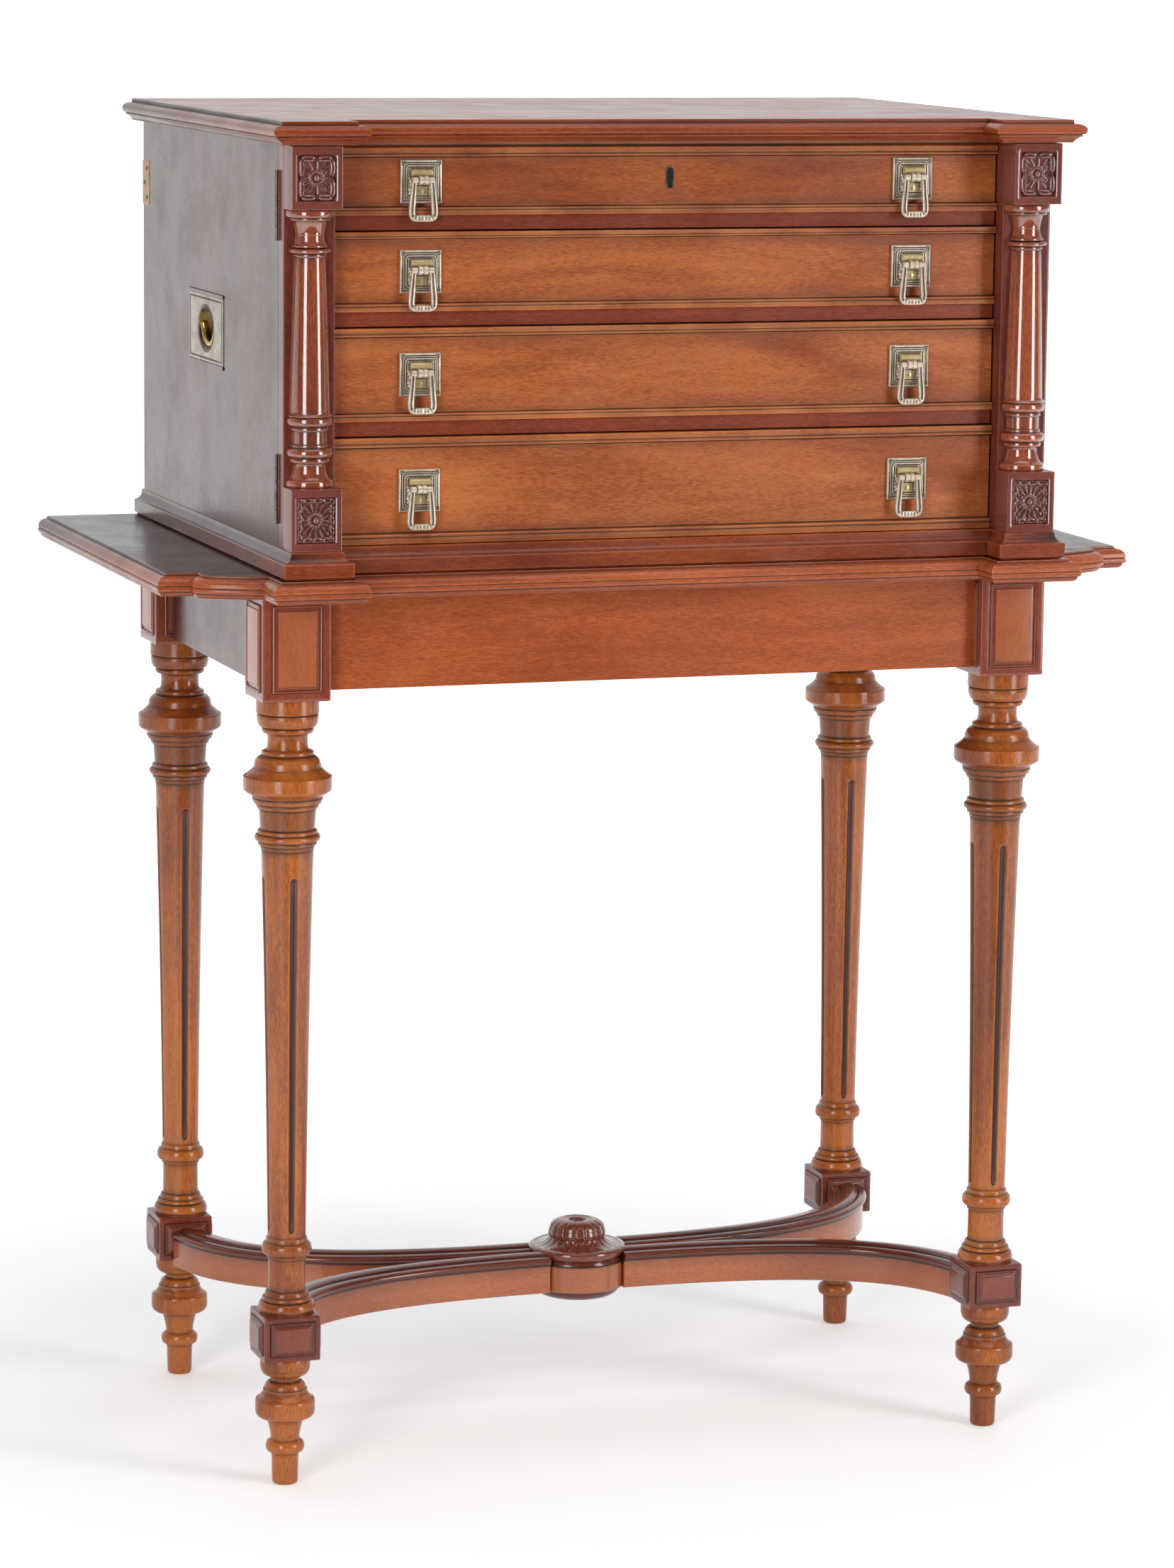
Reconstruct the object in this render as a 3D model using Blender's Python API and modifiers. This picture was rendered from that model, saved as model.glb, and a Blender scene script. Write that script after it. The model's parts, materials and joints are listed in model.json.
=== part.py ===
"""Cutlery cabinet on a stand: a case with a lidded tray and three drawers behind two hinged
column stiles, on a moulded stand with turned legs and a curved stretcher.

Metres, +Z up, the front faces -Y. The origin is on the floor, under the middle of the whole
cabinet. Every piece is built in place, then given an origin of its own on its seat or axis.
"""

import math

import bmesh
import bpy
from mathutils import Matrix, Vector

# Clearances shared by every joint between pieces
GAP = 0.0003
RUN = 0.0006
CUT = 0.002

# Overall sizes, which everything else is set from
CASE_HALF_WIDTH = 0.299
DEPTH = 0.464
STAND_TOP_Z = 0.694

# Stand: its top and mouldings
TOP_THICK = 0.0165
TOP_MOULD = 0.0065
TOP_RECESS = 0.028
CORNER_OVER_CASE = 0.0105
CORNER_WIDTH = 0.0605
WING_SHOULDER = 0.033
WING_CURVE_WIDTH = 0.0445
WING_CURVE_DEPTH = 0.024
WING_CURVE_POWER = 1.25
WING_CURVE_STEPS = 4
WING_STEP = 0.016
WING_END_WIDTH = 0.024
WING_END_RISE = 0.003

# Legs and their blocks
LEG_IN_FROM_CASE = 0.0155
LEG_IN_FROM_FRONT = 0.080
LEG_IN_FROM_BACK = 0.060
LEG_BLOCK = 0.0517
LEG_BLOCK_HEIGHT = 0.0785
DRUM_RADIUS = 0.0336
CAP_LENGTH = 0.111
ANKLE_LENGTH = 0.0625
LOW_BLOCK_HEIGHT = 0.0345
FOOT_HEIGHT = 0.099
LOW_BLOCK = 0.045
PANEL_MARGIN = 0.0065
LOW_PANEL_MARGIN = 0.0051
PANEL_BEVEL = 0.0035
PANEL_RAISE = 0.0028
LEG_SIDES = 16

# Aprons
APRON_THICK = 0.018
APRON_INSET = 0.012
APRON_HEIGHT = 0.072

# Stretcher
ARM_HALF = 0.0115
ARM_MOULD_HALF = 0.0150
ARM_UNDER_BLOCK = 0.001
ARM_HEIGHT = 0.027
ARM_MOULD_HEIGHT = 0.007
ARM_END_Y = 0.0155
ARM_STEPS = 14
HUB_RADIUS = 0.038
HUB_MOULD = 0.0025
HUB_FOOT_RADIUS = 0.033
HUB_FOOT_HEIGHT = 0.008
PLATE_RADIUS = 0.0405
PLATE_THICK = 0.0045
DOME_RADIUS = 0.0240
DOME_HEIGHT = 0.0185
HUB_SIDES = 24

# Case: carcase, plinth and lid
CASE_IN_FROM_FRONT = 0.0515
CASE_IN_FROM_BACK = 0.0065
SIDE_THICK = 0.016
BACK_THICK = 0.010
POST_WIDTH = 0.0222
POST_DEPTH = 0.022
GUIDE_HEIGHT = 0.012
PLINTH_HEIGHT = 0.020
PLINTH_FASCIA = 0.012
PLINTH_OUT = 0.0065
CORNER_FRONT = 0.036
PLINTH_RECESS = 0.027
LID_CLEAR = 0.0004
LID_THICK = 0.017
LID_OUT = 0.0157
LID_MOULD = 0.0055
LID_RECESS = 0.028
LID_EDGE_OVER_STILE = 0.0040
LID_CORNER_WIDTH = 0.0625

# Drawers, top front and rails
LOW_BAY = 0.0798
MIDDLE_BAY = 0.0695
HIGH_BAY = 0.0595
TRAY_HEIGHT = 0.0523
RAIL_THICK = 0.0105
RAIL_DEPTH = 0.045
RAIL_SET_BACK = 0.0008
BOARD_THICK = 0.006
FRONT_THICK = 0.0155
BEAD_DEPTH = 0.0040
BEAD_HEIGHT = 0.0058
DRAWER_TOP_CLEAR = 0.0012
DRAWER_LIFT = 0.0004
BOX_BACK_CLEAR = 0.0164
BOX_WALL = 0.009
BOX_BOTTOM = 0.006
BOX_SIDE_CLEAR = 0.0015
BOX_TOP_CLEAR = 0.006
TOP_FRONT_LIP = 0.0032

# Stiles with their blocks and columns
STILE_WIDTH = 0.0385
STILE_THICK = 0.0145
LOW_CARVED_HEIGHT = 0.0454
HIGH_CARVED_HEIGHT = 0.0455
COLUMN_RADIUS = 0.0182
COLUMN_SIDES = 16

# Brass: handles, hinges and flush lifting handles
HANDLE_IN_FROM_STILE = 0.0685
HANDLE_PLATE = 0.0315
HANDLE_THICK = 0.0014
HANDLE_MARGIN = 0.0040
HANDLE_FIELD_BEVEL = 0.0012
HANDLE_FIELD = 0.0011
BOSS_WIDTH = 0.0075
BOSS_REACH = 0.0104
PIVOT_RISE = 0.0012
BAIL_WIRE = 0.0021
BAIL_DROP = 0.0275
BAIL_HALF_TOP = 0.0066
BAIL_HALF_FOOT = 0.0088
HINGE_LENGTH = 0.0508
HINGE_RADIUS = 0.0022
HINGE_LEAF = 0.0012
HINGE_LEAF_WIDTH = 0.013
STILE_HINGE_RISE = 0.043
STILE_HINGE_DROP = 0.0441
LID_HINGE_IN_FROM_SIDE = 0.099
LID_HINGE_RADIUS = 0.0027
HINGE_SIDES = 12
FLUSH_WIDTH = 0.1016
FLUSH_HEIGHT = 0.0560
FLUSH_THICK = 0.0025
FLUSH_BACK_OF_MIDDLE = 0.0033
FLUSH_UNDER_MIDDLE = 0.0023
BOWL_HALF_WIDTH = 0.0230
BOWL_HALF_HEIGHT = 0.0200
BOWL_DEPTH = 0.0105
BOWL_WALL = 0.0015
BOWL_SIDES = 24
RING_WIRE = 0.0020
RING_SUNK = 0.0005
RING_CLEAR = 0.0012
RING_RISE = 0.0020
RING_STEPS = 9

# Outlines as shares of the sizes that they follow, chosen by hand. Edge mouldings: share of
# the moulding's reach, share of the board's thickness from its top.
STAND_EDGE_SHARES = ((0, 0), (0.22, 0.10), (0.30, 0.17), (0.78, 0.46), (1, 0.58), (1, 0.70),
                     (0.62, 0.78), (0.40, 1))
LID_EDGE_SHARES = ((0, 0), (0, 0.10), (0.40, 0.13), (0.90, 0.24), (1, 0.34), (0.90, 0.44),
                   (0.40, 0.56), (0.10, 0.62), (-0.15, 0.80), (-0.40, 0.86), (-0.40, 1))
PLINTH_EDGE_SHARES = ((-1, 0), (-0.93, 0.30), (-0.62, 0.62), (-0.10, 0.86), (0, 1))

# Turnings: radius as a share of the drum or column, drop as a share of the section's length
CAP_SHARES = ((0.70, 0.10), (0.66, 0.105), (0.69, 0.15), (0.64, 0.19), (0.56, 0.20),
              (0.56, 0.23), (0.44, 0.26), (0.44, 0.345), (0.58, 0.37), (0.58, 0.40),
              (0.73, 0.45), (0.79, 0.495), (0.95, 0.52), (1, 0.545), (1, 0.61), (0.92, 0.64),
              (0.79, 0.65), (0.77, 0.69), (0.68, 0.71), (0.62, 0.745), (0.60, 0.885),
              (0.745, 0.92), (0.745, 0.945), (0.63, 0.98), (0.565, 1))
ANKLE_SHARES = ((0.425, 0), (0.42, 0.14), (0.565, 0.19), (0.565, 0.27), (0.435, 0.33),
                (0.435, 0.76), (0.55, 0.83), (0.55, 0.86), (0.68, 0.92), (0.64, 1))
FOOT_SHARES = ((0.55, 0), (0.57, 0.07), (0.51, 0.125), (0.34, 0.145), (0.34, 0.185),
               (0.46, 0.225), (0.60, 0.32), (0.69, 0.345), (0.69, 0.46), (0.63, 0.485),
               (0.395, 0.50), (0.33, 0.675), (0.44, 0.71), (0.44, 0.745), (0.31, 0.775),
               (0.295, 1))
CORE_SHARE = 0.42
COLUMN_SHARES = ((0.96, 0), (0.96, 0.035), (0.72, 0.075), (0.66, 0.115), (0.70, 0.135),
                 (0.87, 0.143), (0.87, 0.152), (0.72, 0.162), (0.63, 0.18), (0.79, 0.732),
                 (1, 0.745), (1, 0.775), (0.78, 0.797), (0.78, 0.85), (0.95, 0.86),
                 (1, 0.885), (0.93, 0.91), (0.76, 0.935), (0.86, 0.972), (0.95, 0.98),
                 (0.95, 1))
DOME_SHARES = ((0.20, 0.86), (0.42, 0.95), (0.66, 0.93), (0.88, 0.74), (1, 0.45), (1, 0.25),
               (0.90, 0))
ARM_EDGE_SHARES = ((0, 0.93), (0.55, 1), (0.86, 0.72), (1, 0.35), (1, 0))
ARM_HANDLE_SHARES = (0.93, 0.79, 0.53)

WOOD_PALE = (0.42, 0.16, 0.06)
WOOD_RED = (0.26, 0.07, 0.035)
WOOD_BOX = (0.40, 0.22, 0.10)
BRASS = (0.62, 0.55, 0.36)

# Places worked out from the sizes above
FRONT_Y = -DEPTH / 2
BACK_Y = DEPTH / 2
TOP_FLAT_Y = FRONT_Y + TOP_MOULD
TOP_UNDER_Z = STAND_TOP_Z - TOP_THICK
CORNER_OUT_X = CASE_HALF_WIDTH + CORNER_OVER_CASE
CORNER_IN_X = CORNER_OUT_X - CORNER_WIDTH
WING_STEP_X = CORNER_OUT_X + WING_CURVE_WIDTH
TOP_HALF_WIDTH = WING_STEP_X + WING_END_WIDTH
LEG_X = CASE_HALF_WIDTH - LEG_IN_FROM_CASE
LEG_FRONT_Y = FRONT_Y + LEG_IN_FROM_FRONT
LEG_BACK_Y = BACK_Y - LEG_IN_FROM_BACK
LEG_MID_Y = (LEG_FRONT_Y + LEG_BACK_Y) / 2
LEG_SPREAD_Y = LEG_BACK_Y - LEG_FRONT_Y
LEG_BLOCK_Z = TOP_UNDER_Z - LEG_BLOCK_HEIGHT
LOW_BLOCK_TOP_Z = FOOT_HEIGHT + LOW_BLOCK_HEIGHT
APRON_Z = TOP_UNDER_Z - APRON_HEIGHT
ARM_Z = FOOT_HEIGHT - ARM_UNDER_BLOCK
CASE_FRONT_Y = FRONT_Y + CASE_IN_FROM_FRONT
CASE_BACK_Y = BACK_Y - CASE_IN_FROM_BACK
CASE_FLOOR_Z = STAND_TOP_Z + PLINTH_HEIGHT
RAIL_LOW_Z = CASE_FLOOR_Z + LOW_BAY
RAIL_MID_Z = RAIL_LOW_Z + RAIL_THICK + MIDDLE_BAY
RAIL_HIGH_Z = RAIL_MID_Z + RAIL_THICK + HIGH_BAY
CASE_TOP_Z = RAIL_HIGH_Z + RAIL_THICK + TRAY_HEIGHT
LID_Z = CASE_TOP_Z + LID_CLEAR
LID_TOP_Z = LID_Z + LID_THICK
STILE_IN_X = CASE_HALF_WIDTH - STILE_WIDTH
STILE_FRONT_Y = CASE_FRONT_Y - STILE_THICK
BLOCK_FRONT_Y = CASE_FRONT_Y - CORNER_FRONT
BAY_HALF = STILE_IN_X - GAP
FRONT_HALF = STILE_IN_X - RUN
INNER_HALF = CASE_HALF_WIDTH - SIDE_THICK - GAP
BACK_INNER_Y = CASE_BACK_Y - BACK_THICK - GAP
BEAD_Y = CASE_FRONT_Y - BEAD_DEPTH
HANDLE_X = STILE_IN_X - HANDLE_IN_FROM_STILE
STILE_HINGE_LOW_Z = CASE_FLOOR_Z + STILE_HINGE_RISE
STILE_HINGE_HIGH_Z = CASE_TOP_Z - STILE_HINGE_DROP
LID_HINGE_X = CASE_HALF_WIDTH - LID_HINGE_IN_FROM_SIDE
FLUSH_Y = (CASE_FRONT_Y + CASE_BACK_Y) / 2 + FLUSH_BACK_OF_MIDDLE
FLUSH_Z = (CASE_FLOOR_Z + CASE_TOP_Z) / 2 - FLUSH_UNDER_MIDDLE


def new_collection(name):
    """A collection linked to the scene."""
    collection = bpy.data.collections.new(name)
    bpy.context.scene.collection.children.link(collection)
    return collection


for old in list(bpy.data.objects):
    bpy.data.objects.remove(old, do_unlink=True)
PARTS = new_collection("cutlery_cabinet")
CUTTERS = new_collection("cutters")


# Materials and placing

def finish(piece, color, roughness, metallic=0.0):
    """The piece's own Principled material."""
    material = bpy.data.materials.new(piece.name + "_finish")
    material.use_nodes = True
    shader = material.node_tree.nodes["Principled BSDF"]
    shader.inputs["Base Color"].default_value = (*color, 1)
    shader.inputs["Roughness"].default_value = roughness
    shader.inputs["Metallic"].default_value = metallic
    piece.data.materials.clear()
    piece.data.materials.append(material)


def polished(piece, color):
    finish(piece, color, 0.25)


def brass(piece):
    finish(piece, BRASS, 0.35, 1.0)


def add_mesh(name, bm, collection=PARTS):
    """A new object from a bmesh, in the collection."""
    mesh = bpy.data.meshes.new(name)
    bm.to_mesh(mesh)
    bm.free()
    piece = bpy.data.objects.new(name, mesh)
    collection.objects.link(piece)
    return piece


def seat(piece, origin):
    """Moves the piece's origin to a point, with the shape left where it is."""
    piece.data.transform(Matrix.Translation(-Vector(origin)))
    piece.location = origin
    return piece


def axis_empty(name, location):
    """An empty on a joint's axis, which the moving pieces are children of."""
    empty = bpy.data.objects.new(name, None)
    empty.empty_display_size = HANDLE_PLATE
    empty.location = location
    PARTS.objects.link(empty)
    return empty


def carry(empty, *pieces):
    """Parents pieces to an empty without moving them."""
    for piece in pieces:
        piece.parent = empty
        piece.matrix_parent_inverse = Matrix.Translation(-empty.location)


# Shapes

def box(name, low, high, collection=PARTS):
    """A box between two corners."""
    bm = bmesh.new()
    size = Vector(high) - Vector(low)
    middle = (Vector(high) + Vector(low)) / 2
    bmesh.ops.create_cube(bm, size=1.0)
    bmesh.ops.scale(bm, vec=size, verts=bm.verts)
    bmesh.ops.translate(bm, vec=middle, verts=bm.verts)
    return add_mesh(name, bm, collection)


def prism(name, outline, along, start, end):
    """An outline carried straight along X, Y or Z. Its points are in the other two axes."""
    bm = bmesh.new()
    places = {"X": lambda a, b: (start, a, b), "Z": lambda a, b: (a, b, start)}
    verts = [bm.verts.new(places[along](a, b)) for a, b in outline]
    face = bm.faces.new(verts)
    sweep = {"X": (end - start, 0, 0), "Z": (0, 0, end - start)}[along]
    grown = bmesh.ops.extrude_face_region(bm, geom=[face])["geom"]
    moved = [v for v in grown if isinstance(v, bmesh.types.BMVert)]
    bmesh.ops.translate(bm, vec=sweep, verts=moved)
    bmesh.ops.recalc_face_normals(bm, faces=bm.faces)
    return add_mesh(name, bm)


def shifted_outline(outline, shift, still_edges):
    """The closed outline with its edges moved out by shift, apart from the still ones."""
    count = len(outline)
    lines = []
    for i in range(count):
        start, end = Vector(outline[i]), Vector(outline[(i + 1) % count])
        along = (end - start).normalized()
        outward = Vector((along.y, -along.x))
        move = 0 if i in still_edges else shift
        lines.append((start + outward * move, along))
    points = []
    for i in range(count):
        a, u = lines[i - 1]
        b, v = lines[i]
        turn = u.x * v.y - u.y * v.x
        reach = ((b.x - a.x) * v.y - (b.y - a.y) * v.x) / turn
        points.append(a + u * reach)
    return points


def moulded_slab(name, outline, still_edges, edge, top, thick, reach):
    """A board whose edge moulding follows its outline: one ring of points for each step of
    the moulding, lofted from the top face down to the bottom face."""
    bm = bmesh.new()
    rings = []
    for out_share, drop_share in edge:
        level = top - drop_share * thick
        points = shifted_outline(outline, out_share * reach, still_edges)
        rings.append([bm.verts.new((p.x, p.y, level)) for p in points])
    bm.faces.new(rings[0])
    bm.faces.new(rings[-1][::-1])
    count = len(outline)
    for upper, lower in zip(rings, rings[1:]):
        for i in range(count):
            j = (i + 1) % count
            bm.faces.new((upper[j], upper[i], lower[i], lower[j]))
    bmesh.ops.recalc_face_normals(bm, faces=bm.faces)
    return add_mesh(name, bm)


def both_sides(half):
    """An outline from its right half, listed from the middle of the front to the back."""
    return [(-x, y) for x, y in reversed(half)] + list(half)


def baked(piece):
    """The piece with its modifiers made real and its doubled points welded."""
    graph = bpy.context.evaluated_depsgraph_get()
    mesh = bpy.data.meshes.new_from_object(piece.evaluated_get(graph))
    bm = bmesh.new()
    bm.from_mesh(mesh)
    bpy.data.meshes.remove(mesh)
    bmesh.ops.remove_doubles(bm, verts=bm.verts, dist=GAP / 30)
    made = add_mesh(piece.name + "_made", bm)
    name = piece.name
    made.matrix_world = piece.matrix_world
    bpy.data.objects.remove(piece, do_unlink=True)
    made.name = name
    return made


def joined(piece, *others):
    """One body out of overlapping pieces, by exact Boolean unions."""
    for other in others:
        union = piece.modifiers.new("Union", "BOOLEAN")
        union.operation = "UNION"
        union.solver = "EXACT"
        union.object = other
    bpy.context.view_layer.update()
    made = baked(piece)
    for other in others:
        bpy.data.objects.remove(other, do_unlink=True)
    return made


def cut_by(piece, cutter):
    """A live Boolean cut. The cutter stays as a wire guide."""
    cutter.display_type = "WIRE"
    cutter.hide_render = True
    cut = piece.modifiers.new("Cut", "BOOLEAN")
    cut.operation = "DIFFERENCE"
    cut.solver = "EXACT"
    cut.object = cutter


def turned(name, profile, sides, x, y):
    """A turned solid: the profile of (radius, height), top to bottom, screwed round Z."""
    mesh = bpy.data.meshes.new(name)
    points = [(0, 0, profile[0][1])]
    points += [(radius, 0, height) for radius, height in profile]
    points += [(0, 0, profile[-1][1])]
    mesh.from_pydata(points, [(i, i + 1) for i in range(len(points) - 1)], [])
    piece = bpy.data.objects.new(name, mesh)
    PARTS.objects.link(piece)
    screw = piece.modifiers.new("Turn", "SCREW")
    screw.axis = "Z"
    screw.angle = math.tau
    screw.steps = sides
    screw.render_steps = sides
    screw.use_merge_vertices = True
    screw.merge_threshold = GAP / 30
    piece.location = (x, y, 0)
    bpy.context.view_layer.update()
    made = baked(piece)
    made.data.transform(Matrix.Translation((x, y, 0)))
    made.location = (0, 0, 0)
    made.data.shade_smooth()
    made.data.set_sharp_from_angle(angle=math.radians(40))
    return made


def cylinder(name, radius, start, end, sides, collection=PARTS):
    """A round bar between two points."""
    bm = bmesh.new()
    span = Vector(end) - Vector(start)
    bmesh.ops.create_cone(bm, cap_ends=True, segments=sides, radius1=radius, radius2=radius,
                          depth=span.length)
    turn = span.to_track_quat("Z", "Y").to_matrix().to_4x4()
    bmesh.ops.transform(bm, matrix=Matrix.Translation(Vector(start) + span / 2) @ turn,
                        verts=bm.verts)
    return add_mesh(name, bm, collection)


def raised_block(name, low, high, sides, margin, bevel, raise_by):
    """A square block with a raised and bevelled panel on each named side."""
    bm = bmesh.new()
    size = Vector(high) - Vector(low)
    bmesh.ops.create_cube(bm, size=1.0)
    bmesh.ops.scale(bm, vec=size, verts=bm.verts)
    bmesh.ops.translate(bm, vec=(Vector(high) + Vector(low)) / 2, verts=bm.verts)
    bm.normal_update()
    for side in sides:
        face = max(bm.faces, key=lambda f: f.normal.dot(Vector(side)) * f.calc_area())
        bmesh.ops.inset_individual(bm, faces=[face], thickness=margin, use_even_offset=True)
        bmesh.ops.inset_individual(bm, faces=[face], thickness=bevel, depth=raise_by,
                                   use_even_offset=True)
        bm.normal_update()
    return add_mesh(name, bm)


# Stand

def scaled(shares, size, top, length):
    """A turned section in metres: radii from size, heights down from top."""
    return [(r * size, top - t * length) for r, t in shares]


def leg_profile():
    """The whole leg, from inside its corner block down to the floor."""
    core = CORE_SHARE * DRUM_RADIUS
    cap = scaled(CAP_SHARES, DRUM_RADIUS, LEG_BLOCK_Z, CAP_LENGTH)
    ankle = scaled(ANKLE_SHARES, DRUM_RADIUS, LOW_BLOCK_TOP_Z + ANKLE_LENGTH, ANKLE_LENGTH)
    foot = scaled(FOOT_SHARES, DRUM_RADIUS, FOOT_HEIGHT, FOOT_HEIGHT)
    neck = [(cap[0][0], LEG_BLOCK_Z + LEG_BLOCK / 4)]
    hidden = [(core, LOW_BLOCK_TOP_Z - CUT), (core, FOOT_HEIGHT + CUT)]
    return neck + cap + ankle + hidden + foot


def make_leg(name, right, back):
    """A leg in one piece: corner block, turning, lower block and foot."""
    x = LEG_X * right
    y = LEG_BACK_Y if back > 0 else LEG_FRONT_Y
    turning = turned(name, leg_profile(), LEG_SIDES, x, y)
    half = LEG_BLOCK / 2
    corner = raised_block(name + "_corner", (x - half, y - half, LEG_BLOCK_Z),
                          (x + half, y + half, TOP_UNDER_Z - GAP),
                          ((right, 0, 0), (0, back, 0)), PANEL_MARGIN, PANEL_BEVEL, PANEL_RAISE)
    low = LOW_BLOCK / 2
    block = raised_block(name + "_block", (x - low, y - low, FOOT_HEIGHT),
                         (x + low, y + low, LOW_BLOCK_TOP_Z),
                         ((1, 0, 0), (-1, 0, 0), (0, back, 0)), LOW_PANEL_MARGIN,
                         PANEL_BEVEL, PANEL_RAISE)
    leg = joined(turning, corner, block)
    polished(leg, WOOD_PALE)
    return seat(leg, (x, y, 0))


def stand_outline():
    """Plan of the stand's top at its flat edge: a recess between two corner projections,
    then a wing with a short curve, a step and a straight end."""
    half = [(CORNER_IN_X, TOP_FLAT_Y + TOP_RECESS), (CORNER_IN_X, TOP_FLAT_Y),
            (CORNER_OUT_X, TOP_FLAT_Y), (CORNER_OUT_X, TOP_FLAT_Y + WING_SHOULDER)]
    for step in range(1, WING_CURVE_STEPS + 1):
        share = step / WING_CURVE_STEPS
        half.append((CORNER_OUT_X + (WING_STEP_X - CORNER_OUT_X) * share,
                     half[3][1] + WING_CURVE_DEPTH * share ** WING_CURVE_POWER))
    wing = half[-1][1] + WING_STEP
    half += [(WING_STEP_X, wing), (TOP_HALF_WIDTH, wing + WING_END_RISE),
             (TOP_HALF_WIDTH, BACK_Y)]
    return both_sides(half)


def make_stand_top():
    outline = stand_outline()
    top = moulded_slab("stand_top", outline, {len(outline) - 1}, STAND_EDGE_SHARES,
                       STAND_TOP_Z, TOP_THICK, TOP_MOULD)
    polished(top, WOOD_PALE)
    seat(top, (0, 0, TOP_UNDER_Z))


def make_aprons():
    """Four boards between the corner blocks, set back from their outer faces."""
    top = TOP_UNDER_Z - GAP
    inner_x = LEG_X - LEG_BLOCK / 2 - GAP
    outer_x = LEG_X + LEG_BLOCK / 2 - APRON_INSET
    rows = (("apron_front", LEG_FRONT_Y - LEG_BLOCK / 2 + APRON_INSET, 1),
            ("apron_back", LEG_BACK_Y + LEG_BLOCK / 2 - APRON_INSET, -1))
    for name, face, inward in rows:
        ys = sorted((face, face + inward * APRON_THICK))
        apron = box(name, (-inner_x, ys[0], APRON_Z), (inner_x, ys[1], top))
        polished(apron, WOOD_PALE)
        seat(apron, (0, face, top))
    front = LEG_FRONT_Y + LEG_BLOCK / 2 + GAP
    back = LEG_BACK_Y - LEG_BLOCK / 2 - GAP
    for name, side in (("apron_left", -1), ("apron_right", 1)):
        xs = sorted((side * outer_x, side * (outer_x - APRON_THICK)))
        apron = box(name, (xs[0], front, APRON_Z), (xs[1], back, top))
        polished(apron, WOOD_PALE)
        seat(apron, (side * outer_x, LEG_MID_Y, top))


def bezier(p0, p1, p2, p3, t):
    """A point on a cubic curve."""
    s = 1 - t
    return (p0 * s ** 3 + p1 * (3 * s * s * t) + p2 * (3 * s * t * t) + p3 * t ** 3)


def arm_path():
    """Plan of one arm, from a block's inner face to the hub, as distances right of and
    outside the middle of the stretcher: out of the block square to it, then round to the
    hub along X."""
    start = Vector((LEG_X, LEG_SPREAD_Y / 2 - LOW_BLOCK / 2 - GAP))
    end = Vector((HUB_RADIUS - HUB_MOULD - CUT, ARM_END_Y))
    across, inward, hub_reach = ARM_HANDLE_SHARES
    from_block = Vector((start.x * across, start.y + (end.y - start.y) * inward))
    from_hub = Vector((end.x + (start.x - end.x) * hub_reach, end.y))
    return [bezier(start, from_block, from_hub, end, i / ARM_STEPS)
            for i in range(ARM_STEPS + 1)]


def arm_section():
    """Section of an arm as (out from its middle, height): plain sides under a moulded top."""
    low = ARM_Z + ARM_HEIGHT - ARM_MOULD_HEIGHT
    right = [(out * ARM_MOULD_HALF, low + rise * ARM_MOULD_HEIGHT)
             for out, rise in ARM_EDGE_SHARES]
    right += [(ARM_HALF, low), (ARM_HALF, ARM_Z)]
    return [(-a, z) for a, z in reversed(right[1:])] + right


def make_arm(name, right, back, hub_cutter):
    """The section lofted along the plan path, square to it at each step."""
    path = arm_path()
    section = arm_section()
    bm = bmesh.new()
    rings = []
    for i, point in enumerate(path):
        ahead = path[min(i + 1, ARM_STEPS)] - path[max(i - 1, 0)]
        if i == 0:
            ahead = Vector((0, -1))
        if i == ARM_STEPS:
            ahead = Vector((-1, 0))
        across = Vector((-ahead.y, ahead.x)).normalized()
        ring = []
        for out, z in section:
            place = point + across * out
            ring.append(bm.verts.new((place.x * right, LEG_MID_Y + place.y * back, z)))
        rings.append(ring)
    bm.faces.new(rings[0])
    bm.faces.new(rings[-1][::-1])
    count = len(section)
    for first, second in zip(rings, rings[1:]):
        for i in range(count):
            j = (i + 1) % count
            bm.faces.new((first[j], first[i], second[i], second[j]))
    bmesh.ops.recalc_face_normals(bm, faces=bm.faces)
    arm = add_mesh(name, bm)
    cut_by(arm, hub_cutter)
    polished(arm, WOOD_RED)
    seat(arm, (LEG_X * right, LEG_MID_Y + (LEG_SPREAD_Y - LOW_BLOCK) / 2 * back, ARM_Z))


def make_stretcher():
    top = ARM_Z + ARM_HEIGHT
    cutter = cylinder("hub_cutter", HUB_RADIUS + HUB_MOULD + GAP,
                      (0, LEG_MID_Y, ARM_Z - CUT), (0, LEG_MID_Y, top + CUT), HUB_SIDES * 2,
                      CUTTERS)
    for name, right, back in (("front_left", -1, -1), ("front_right", 1, -1),
                              ("back_left", -1, 1), ("back_right", 1, 1)):
        make_arm("stretcher_arm_" + name, right, back, cutter)
    rim = HUB_RADIUS + HUB_MOULD
    mould = top - ARM_MOULD_HEIGHT
    hub = turned("stretcher_hub",
                 [(HUB_RADIUS, top - GAP), (rim, top - ARM_MOULD_HEIGHT / 2), (rim, mould),
                  (HUB_RADIUS, mould), (HUB_RADIUS, ARM_Z), (HUB_FOOT_RADIUS, ARM_Z),
                  (HUB_FOOT_RADIUS, ARM_Z - HUB_FOOT_HEIGHT)], HUB_SIDES, 0, LEG_MID_Y)
    polished(hub, WOOD_RED)
    seat(hub, (0, LEG_MID_Y, ARM_Z))
    low = top + GAP
    deck = low + PLATE_THICK
    dome = [(out * DOME_RADIUS, deck + rise * DOME_HEIGHT) for out, rise in DOME_SHARES]
    plate = [(PLATE_RADIUS - PLATE_THICK, deck), (PLATE_RADIUS, low + PLATE_THICK / 2),
             (PLATE_RADIUS, low)]
    boss = turned("stretcher_boss", dome + plate, HUB_SIDES, 0, LEG_MID_Y)
    polished(boss, WOOD_RED)
    seat(boss, (0, LEG_MID_Y, low))


# Case

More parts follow.
